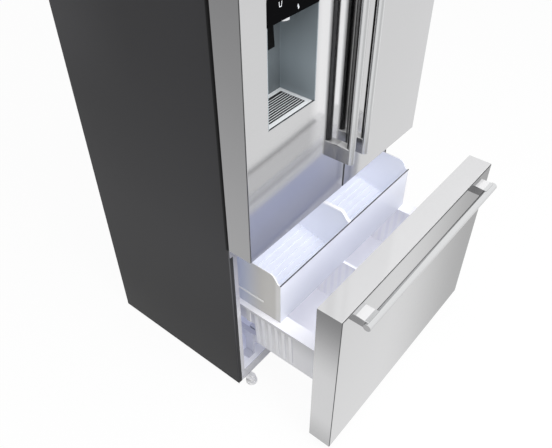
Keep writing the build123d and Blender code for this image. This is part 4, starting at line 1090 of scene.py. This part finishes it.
class REFRIGERATOR_OT_dispenser(bpy.types.Operator):
    """Finish the water dispenser"""

    bl_idname = "refrigerator.dispenser"
    bl_label = "Dispenser"

    def execute(self, context):
        settings = context.scene.refrigerator_dispenser
        dress(self.niche(settings), "dispenser_housing")
        dress(moulded_plastic("panel_black", settings.panel, 0.2, 0.0, gloss=0.0), "control_panel")
        dress(brushed_metal("spout_chrome", shade(226, 227, 229), 0.08), "dispenser_spout")
        dress(self.grille(), "drip_grille")
        dress(moulded_plastic("paddle_black", shade(9, 9, 10), 0.3, 0.1, gloss=0.05), "dispenser_paddle")
        self.marks()
        self.niche_lens()
        return {"FINISHED"}

    def niche_lens(self):
        """Oval lamp lens in the ceiling of the niche, behind the spout."""
        lens, f = begin("niche_lens")
        flow = f.noise(300.0, 2.0)
        f.surface(
            Base_Color=f.tint(shade(240, 244, 248), 0.96 + flow * 0.06),
            Roughness=0.2,
            Emission_Color=shade(236, 244, 255),
            Emission_Strength=0.4,
        )
        low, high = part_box("dispenser_spout")
        middle = (low.x + high.x) / 2
        made = bmesh.new()
        outline = panel_outline(middle, depth(-22.0), 0.016, 0.0055, 0.005)
        prism(made, outline, high.z - 0.0030, high.z + 0.0002, "Z")
        settle("niche_lens", made, 0.0008, lens, "left_door")

    def niche(self, settings):
        """Satin grey recess with painted shade: dimmer on its back wall, towards its ceiling and at its
        foot, and a painted shadow on its lower lip.
        """
        material, f = begin("niche_grey")
        _, y, z = f.place()
        _, ny, _ = f.facing()
        flow = f.noise(6.0, 2.0)
        # Painted shade: darker towards the ceiling, on the back wall and at the foot; the lip is a painted
        # shadow line.
        height = (f.span(z, 1.20, 1.38) + (flow - 0.5) * 0.2).clamped()
        foot = f.span(z, 1.11, 1.21, 0.80, 1.0)
        back = f.span(abs(ny), 0.5, 0.9) * f.span(y, depth(-60.0), depth(-40.0))
        grille_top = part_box("drip_grille")[1].z
        lip = (z < grille_top + 0.0015) * (y < depth(-83.0))
        tone = f.blend(height, colour(settings.niche), f.tint(colour(settings.niche), 0.62))
        f.surface(
            Base_Color=f.tint(tone, foot * (1.16 - back * 0.74) * (1.0 - lip * 0.9)),
            Roughness=0.32 + (flow - 0.5) * 0.1,
            Specular_IOR_Level=0.4,
        )
        return material

    def grille(self):
        """Satin metal slats and frame with a painted glow on their tops and painted shade dark between."""
        material, f = begin("grille_steel")
        _, _, nz = f.facing()
        _, _, z = f.place()
        grain = f.noise(1.0, 3.0, 0.6, (4.0, 900.0, 900.0))
        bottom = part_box("drip_grille")[0].z
        # Painted light on the tops of the slats and frame, painted shade on the rest.
        raised = f.span(nz, 0.5, 0.9) * f.span(z, bottom + 0.0025, bottom + 0.004)
        bare = f.tint(shade(232, 234, 236), 1.0 + (grain - 0.5) * 0.08)
        f.surface(
            Base_Color=f.blend(raised, shade(60, 62, 64), bare),
            Metallic=0.25,
            Roughness=0.32,
            Emission_Color=f.blend(raised, (0.0, 0.0, 0.0), shade(226, 230, 234)),
            Emission_Strength=0.10,
        )
        return material

    def marks(self):
        """Three small generic marks on the control panel: a tumbler, a drop and a round light."""

        def arc(radius, middle, angles):
            """Points around (0, middle), in millimetres."""
            turns = [math.radians(angle) for angle in angles]
            return [(radius * math.cos(turn), middle + radius * math.sin(turn)) for turn in turns]

        ink, f = begin("panel_marks")
        speck = f.noise(900.0, 2.0)
        f.surface(
            Base_Color=f.tint(shade(214, 216, 218), 0.94 + speck * 0.12),
            Roughness=0.5,
            Emission_Color=shade(200, 204, 208),
            Emission_Strength=0.3,
        )
        right = [(4.2, -6.0), (5.5, 6.0), (4.0, 6.0), (3.0, -4.5)]
        tumbler = [(-5.5, 6.0), (-4.2, -6.0), *right, (-3.0, -4.5), (-4.0, 6.0)]
        drop = [(0.0, 7.0)] + arc(4.2, -2.0, range(150, -91, -20))
        ring = arc(3.2, 0.0, range(0, 360, 20))
        marks = (
            ("tumbler", tumbler, -321.0, 1410.0),
            ("drop", drop, -257.5, 1385.0),
            ("light", ring, -194.0, 1384.0),
        )
        printed, sunk = depth(-90.7), depth(-90.45)
        for name, outline, x, z in marks:
            made = bmesh.new()
            prism(made, [((x + a) / 1000, (z + b) / 1000) for a, b in outline], printed, sunk)
            piece = f"panel_mark_{name}"
            keep(piece, as_mesh(piece, made), ink, "left_door", smooth=False)


class REFRIGERATOR_OT_freezer(bpy.types.Operator):
    """Finish the drawer's basket, tray and rails"""

    bl_idname = "refrigerator.freezer"
    bl_label = "Freezer drawer"

    def execute(self, context):
        settings = context.scene.refrigerator_freezer
        dress(self.basket(settings), "freezer_basket", "basket_divider")
        dress(self.tray(settings), "upper_tray")
        self.divider_cap()
        dress(moulded_plastic("trim_dark", shade(70, 70, 74), 0.35, 0.1), "tray_trim")
        rails = brushed_metal("rail_steel", shade(228, 230, 236), 0.42, (6.0, 900.0, 900.0), 0.25)
        dress(rails, "middle_rails", "drawer_rails")
        dress(painted_sheet("rail_steel_fixed", shade(226, 227, 234), 0.4, 0.1, 0.1), "fixed_rails")
        return {"FINISHED"}

    def basket(self, settings):
        """White plastic with a painted glow inside and along its rim, and pale ribs on side walls darkened
        by painted shade.

        The side walls lean out, so lean is the half width that a point would have at the bottom.
        """
        material, f = begin("basket_white")
        x, y, z = f.place()
        nx, ny, nz = f.facing()
        flow, spark = mould_marks(f)
        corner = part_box("freezer_basket")[1]
        slope, bottom = 0.0641, 0.2089
        core, rib_foot, blur = 0.3612, 0.3645, 0.0006  # half widths at the bottom, and a mask's edge
        rim = f.span(nz, 0.8, 0.95) * f.span(z, corner.z - 0.004, corner.z - 0.002)
        lean = abs(x) - slope * (z - bottom)
        inside = f.before(lean, core - blur, core) * (1.0 - rim)
        outside = f.span(lean, core, core + blur) * f.span(abs(nx), 0.6, 0.9)
        wall = outside * f.before(lean, rib_foot, rib_foot + 0.001)
        lip = outside * f.span(abs(x), corner.x - 0.007, corner.x - 0.005)
        raised = (outside - wall - lip).clamped()
        # Painted shade: the side walls darken towards the top and at the rim's lip, and the ribs a little
        # near the top.
        shaded = wall * f.span(z, 0.27, 0.40, 0.14, 0.40) + lip * 0.34
        shaded = shaded + raised * f.span(z, 0.34, 0.39, 0.06, 0.22)
        # Flutes run up the inner faces as stripes of painted shade: across the front and back wall, and
        # along the side walls.
        flutes_across, flutes_along = 34.0, 34.5  # in a metre
        across = abs((x * flutes_across) % 1.0 - 0.5) * f.span(abs(ny), 0.6, 0.9)
        along = abs((y * flutes_along) % 1.0 - 0.5) * f.span(abs(nx), 0.6, 0.9)
        flute = (across + along) * inside
        # Painted light: the rim glows, strongly at its front and faintly towards the back, in the case's
        # shade.
        lit_rim = rim * f.span(y, depth(-90.0), depth(-20.0), 1.8, 0.4)
        tone = f.blend(flow, *shades(settings.basket, 0.95))
        f.surface(
            Base_Color=f.tint(tone, 1.0 - shaded - flute * 0.22),
            Roughness=mould_gloss(0.35, flow, spark),
            Normal=f.bump(spark, 0.1, 0.0002),
            Emission_Color=f.tint(shade(236, 236, 248), inside + lit_rim),
            Emission_Strength=0.12,
        )
        return material

    def tray(self, settings):
        """Milky plastic with a painted bluish glow inside and painted shade on its outer sides, with pale
        ribs there.
        """
        material, f = begin("tray_clear")
        x, y, z = f.place()
        _, ny, _ = f.facing()
        flow = f.noise(5.0, 2.0)
        fine = f.noise(260.0, 2.0)
        low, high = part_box("upper_tray")
        outer = f.span(abs(x), high.x - 0.0048, high.x - 0.0040)
        rib = f.span(abs(x), high.x - 0.0024, high.x - 0.0018)
        # Painted shade makes the outer front wall a little darker, and it takes no glow.
        front = f.span(ny, -0.9, -0.5, 1.0, 0.0) * f.before(y, low.y + 0.0005, low.y + 0.002)
        # The step risers are drawn as stripes of bluish painted shade and a brighter painted glow.
        riser = f.span(abs(ny), 0.5, 0.9) * f.span(y, low.y + 0.009, low.y + 0.011) * (z < 0.462)
        # Painted shade on the outer sides: lighter round the front corner, warm grey behind it and bluish
        # further back.
        backwards = f.span(y, depth(-70.0), depth(30.0))
        side_tone = f.blend(backwards, shade(203, 201, 197), shade(206, 211, 224))
        past_corner = f.span(y, depth(-126.0), depth(-112.0))
        side_tone = f.blend(past_corner, shade(224, 223, 222), side_tone)
        tone = f.blend(outer, colour(settings.tray), side_tone)
        tone = f.blend(riser, tone, shade(226, 231, 248))
        tone = f.blend(rib, tone, shade(246, 246, 244))
        # Painted glow on all but the outer sides.
        glow = f.blend(outer, shade(238, 242, 253), (0.0, 0.0, 0.0))
        f.surface(
            Base_Color=f.tint(tone, 0.97 - front * 0.05 + (flow - 0.5) * 0.08),
            Roughness=0.22 + (flow - 0.5) * 0.1,
            Transmission_Weight=settings.clarity,
            Specular_IOR_Level=0.4,
            Normal=f.bump(fine, 0.04, 0.0002),
            Emission_Color=f.tint(glow, 1.0 + riser * 0.9 - front * 0.95),
            Emission_Strength=0.105,
        )
        return material

    def divider_cap(self):
        """White rounded bead along the curved top edge of the tray's divider."""
        low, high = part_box("upper_tray")
        start, bend_end, back_end = low.y + 0.0045, low.y + 0.043, high.y - 0.006
        rise, bend_part, steps = 0.031, 0.4, 32
        line = []
        for step in range(steps + 1):
            part = step / steps
            if part < bend_part:
                share = part / bend_part
                lift = 0.5 - 0.5 * math.cos(math.pi * share)
                line.append((start + (bend_end - start) * share, high.z - rise * (1.0 - lift)))
            else:
                share = (part - bend_part) / (1.0 - bend_part)
                line.append((bend_end + (back_end - bend_end) * share, high.z))
        half, crown, foot = 0.0060, 0.0030, -0.004
        turns = [math.pi * step / 8 for step in range(9)]
        ring = [(half * math.cos(turn), crown * math.sin(turn)) for turn in turns]
        ring += [(-half, foot), (half, foot)]
        made = bmesh.new()
        loops = [[made.verts.new((a, y, z + b)) for a, b in ring] for y, z in line]
        count = len(ring)
        for first, second in zip(loops, loops[1:]):
            for i in range(count):
                after = (i + 1) % count
                made.faces.new((first[i], first[after], second[after], second[i]))
        made.faces.new(loops[0][::-1])
        made.faces.new(loops[-1])
        # Painted glow on the divider's cap.
        lit = (0.1, 0.3, shade(250, 250, 255))
        white = moulded_plastic("divider_white", shade(250, 250, 252), 0.3, 0.05, inner=lit)
        piece = "tray_divider_cap"
        keep(piece, as_mesh(piece, made), white, "freezer_tray")


class REFRIGERATOR_OT_edges(bpy.types.Operator):
    """Round the moulded and cut edges"""

    bl_idname = "refrigerator.edges"
    bl_label = "Edges"

    def execute(self, context):
        ease(0.0012, "freezer_basket", "basket_divider", "hinge_covers", "base_pan")
        ease(0.0008, "upper_tray", "crisper_left", "crisper_right", "door_bins_left", "door_bins_right")
        ease(0.0008, "shelf_frames", "centre_flap", "dispenser_housing", "drawer_liner", "water_valve")
        ease(0.0006, "handle_left", "handle_right", "drawer_handle", "drip_grille", "dispenser_paddle")
        ease(0.0005, "centre_hinges", "top_hinges", "condenser_fan_housing", "drain_pan", "power_inlet")
        return {"FINISHED"}


class REFRIGERATOR_OT_machinery(bpy.types.Operator):
    """Finish the cooling circuit, the fans, the feet and the rollers"""

    bl_idname = "refrigerator.machinery"
    bl_label = "Machinery"

    def execute(self, context):
        dress(painted_sheet("compressor_black", shade(30, 30, 31), 0.4, 0.5), "compressor")
        dress(painted_sheet("coil_black", shade(34, 34, 35), 0.5, 0.4), "condenser_coil")
        dress(moulded_plastic("valve_plastic", shade(214, 214, 206), 0.4, 0.2), "water_valve")
        dress(brushed_metal("evaporator_aluminium", shade(196, 199, 202), 0.35), "evaporator")
        dress(moulded_plastic("foot_white", shade(244, 244, 244), 0.4, 0.2), "foot_left", "foot_right")
        dress(moulded_plastic("roller_dark", shade(44, 44, 46), 0.5, 0.2), "roller_left", "roller_right")
        dress(moulded_plastic("fan_dark", shade(48, 49, 52), 0.4, 0.2), "condenser_fan", "evaporator_fan")
        lacquer = brushed_metal("tube_lacquer", shade(72, 58, 50), 0.35, (40.0, 40.0, 40.0), 0.6)
        self.tubes(lacquer)
        self.drier(lacquer)
        self.terminal_cover()
        self.valve_parts()
        self.rear_screws()
        return {"FINISHED"}

    def tubes(self, lacquer):
        """The lacquered tubes at the compressor."""
        hot = [
            (-0.178, depth(522.0), 0.121), (-0.160, depth(522.0), 0.121), (-0.138, depth(522.0), 0.124),
            (-0.126, depth(522.0), 0.150), (-0.124, depth(520.0), 0.215), (-0.112, depth(516.0), 0.241),
            (-0.060, depth(512.0), 0.2415), (0.040, depth(506.0), 0.2415), (0.088, depth(498.0), 0.2415),
            (0.100, depth(490.0), 0.236), (0.114, depth(490.0), 0.232),
        ]
        cold = [
            (-0.300, depth(522.0), 0.186), (-0.300, depth(522.0), 0.210), (-0.296, depth(540.0), 0.222),
            (-0.280, depth(572.0), 0.224), (-0.262, depth(590.0), 0.228), (-0.258, depth(592.0), 0.249),
        ]
        stub = [(-0.244, depth(540.0), 0.186), (-0.244, depth(544.0), 0.206), (-0.236, depth(560.0), 0.218)]
        for name, points, radius in (
            ("discharge_tube", hot, 0.0038),
            ("suction_tube", cold, 0.0048),
            ("process_stub", stub, 0.0030),
        ):
            tube(name, points, radius, lacquer, "cabinet")

    def drier(self, lacquer):
        """Copper filter drier upright beside the fan, with the tube that feeds it and its capillary."""
        copper = brushed_metal("drier_copper", shade(214, 138, 100), 0.28, (60.0, 60.0, 300.0))
        profile = [(0.0022, 0.0), (0.0024, 0.006), (0.0060, 0.016), (0.0095, 0.024)]
        profile += [(0.0095, 0.072), (0.0060, 0.084), (0.0026, 0.094), (0.0024, 0.104)]
        x, y, bottom = 0.100, depth(452.0), 0.118
        made = bmesh.new()
        lathe(made, profile, (x, y, bottom), steps=24)
        settle("filter_drier", made, 0.0, copper, "cabinet")
        thin = [
            (x, y, bottom + 0.101), (x, y, bottom + 0.112),
            (0.096, depth(455.0), 0.238), (0.094, depth(456.0), 0.2495),
        ]
        feed = [
            (0.114, depth(490.0), 0.050), (0.104, depth(490.0), 0.050), (0.096, depth(476.0), 0.052),
            (0.096, depth(454.0), 0.066), (x, y, bottom - 0.018), (x, y, bottom + 0.003),
        ]
        tube("capillary", thin, 0.0013, copper, "cabinet")
        tube("drier_feed", feed, 0.0026, lacquer, "cabinet")

    def terminal_cover(self):
        """Clip-on cover over the compressor's terminals, with its wires to the power inlet."""
        dark = moulded_plastic("terminal_plastic", shade(38, 38, 40), 0.5, 0.3)
        y, middle, root, face = depth(522.0), 0.118, -0.342, -0.372
        made = bmesh.new()
        prism(made, panel_outline(y, middle, 0.026, 0.034, 0.008), face, root, "X")
        prism(made, panel_outline(y, middle, 0.018, 0.026, 0.006), face - 0.004, face + 0.001, "X")
        prism(made, panel_outline(y, middle + 0.040, 0.008, 0.008, 0.003), face + 0.006, root - 0.006, "X")
        settle("terminal_cover", made, 0.0015, dark, "cabinet")
        wires = [
            (-0.357, depth(522.0), 0.160), (-0.357, depth(522.0), 0.186), (-0.366, depth(536.0), 0.200),
            (-0.392, depth(556.0), 0.204), (-0.410, depth(574.0), 0.201), (-0.412, depth(589.0), 0.200),
        ]
        tube("compressor_wires", wires, 0.0034, dark, "cabinet")

    def valve_parts(self):
        """Coil caps and push fittings of the water valve, and its white tube up into the case."""
        white = moulded_plastic("water_tube", shade(236, 238, 240), 0.35, 0.05)
        middle, y, bottom = 0.415, depth(577.0), 0.1405
        profile = [(0.0085, 0.0), (0.0105, -0.0015), (0.0105, -0.004), (0.0100, -0.006)]
        profile += [(0.0045, -0.0065), (0.0045, -0.0095)]
        made = bmesh.new()
        for offset in (-0.011, 0.011):
            lathe(made, profile, (middle + offset, y, bottom), steps=24)
        settle("valve_caps", made, 0.0003, white, "cabinet")
        rise = [
            (0.392, depth(576.0), 0.206), (0.384, depth(576.0), 0.206), (0.374, depth(578.0), 0.212),
            (0.368, depth(582.0), 0.228), (0.366, depth(584.0), 0.249),
        ]
        tube("water_tube", rise, 0.0032, white, "cabinet")

    def rear_screws(self):
        """Pan-head screws around the rear panel and the machine cover."""
        steel = brushed_metal("screw_steel", shade(168, 169, 171), 0.3)
        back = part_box("rear_panel")[1].y
        edge, top_row, cover_row, foot_row = 0.436, 1.738, 0.236, 0.045
        places = [(x, z) for x in (-edge, edge) for z in (0.275, 0.62, 0.97, 1.32, 1.67)]
        places += [(x, top_row) for x in (-0.22, 0.0, 0.22)]
        places += [(x, z) for x in (-edge, edge) for z in (foot_row, cover_row)]
        places += [(x, cover_row) for x in (-0.15, 0.15)]
        profile = [(0.0050, -0.0004), (0.0050, 0.0004), (0.0044, 0.0013), (0.0030, 0.0018)]
        profile += [(0.0021, 0.0018), (0.0018, 0.0008), (0.0006, 0.0007)]
        made = bmesh.new()
        for x, z in places:
            lathe(made, profile, (x, back, z), "Y", 16)
        settle("rear_screws", made, 0.0, steel, "cabinet")


OPERATORS = (
    REFRIGERATOR_OT_case,
    REFRIGERATOR_OT_compartments,
    REFRIGERATOR_OT_doors,
    REFRIGERATOR_OT_handles,
    REFRIGERATOR_OT_dispenser,
    REFRIGERATOR_OT_freezer,
    REFRIGERATOR_OT_machinery,
    REFRIGERATOR_OT_edges,
    REFRIGERATOR_OT_stage,
)


class REFRIGERATOR_PT_panel(bpy.types.Panel):
    """Lists the steps that finish the refrigerator"""

    bl_label = "Refrigerator"
    bl_idname = "REFRIGERATOR_PT_panel"
    bl_space_type = "VIEW_3D"
    bl_region_type = "UI"
    bl_category = "Refrigerator"

    def draw(self, context):
        column = self.layout.column()
        for operator in OPERATORS:
            column.operator(operator.bl_idname)
        for name, group in GROUPS.items():
            settings = getattr(context.scene, name)
            box = self.layout.box()
            for key in group.__annotations__:
                box.prop(settings, key)


def register():
    for group in (*GROUPS.values(), *OPERATORS, REFRIGERATOR_PT_panel):
        bpy.utils.register_class(group)
    for name, group in GROUPS.items():
        setattr(bpy.types.Scene, name, PointerProperty(type=group))


def unregister():
    for name in GROUPS:
        delattr(bpy.types.Scene, name)
    for group in (REFRIGERATOR_PT_panel, *OPERATORS, *GROUPS.values()):
        bpy.utils.unregister_class(group)


def main():
    register()
    for operator in OPERATORS:
        category, name = operator.bl_idname.split(".")
        getattr(getattr(bpy.ops, category), name)()


if __name__ == "__main__":
    main()
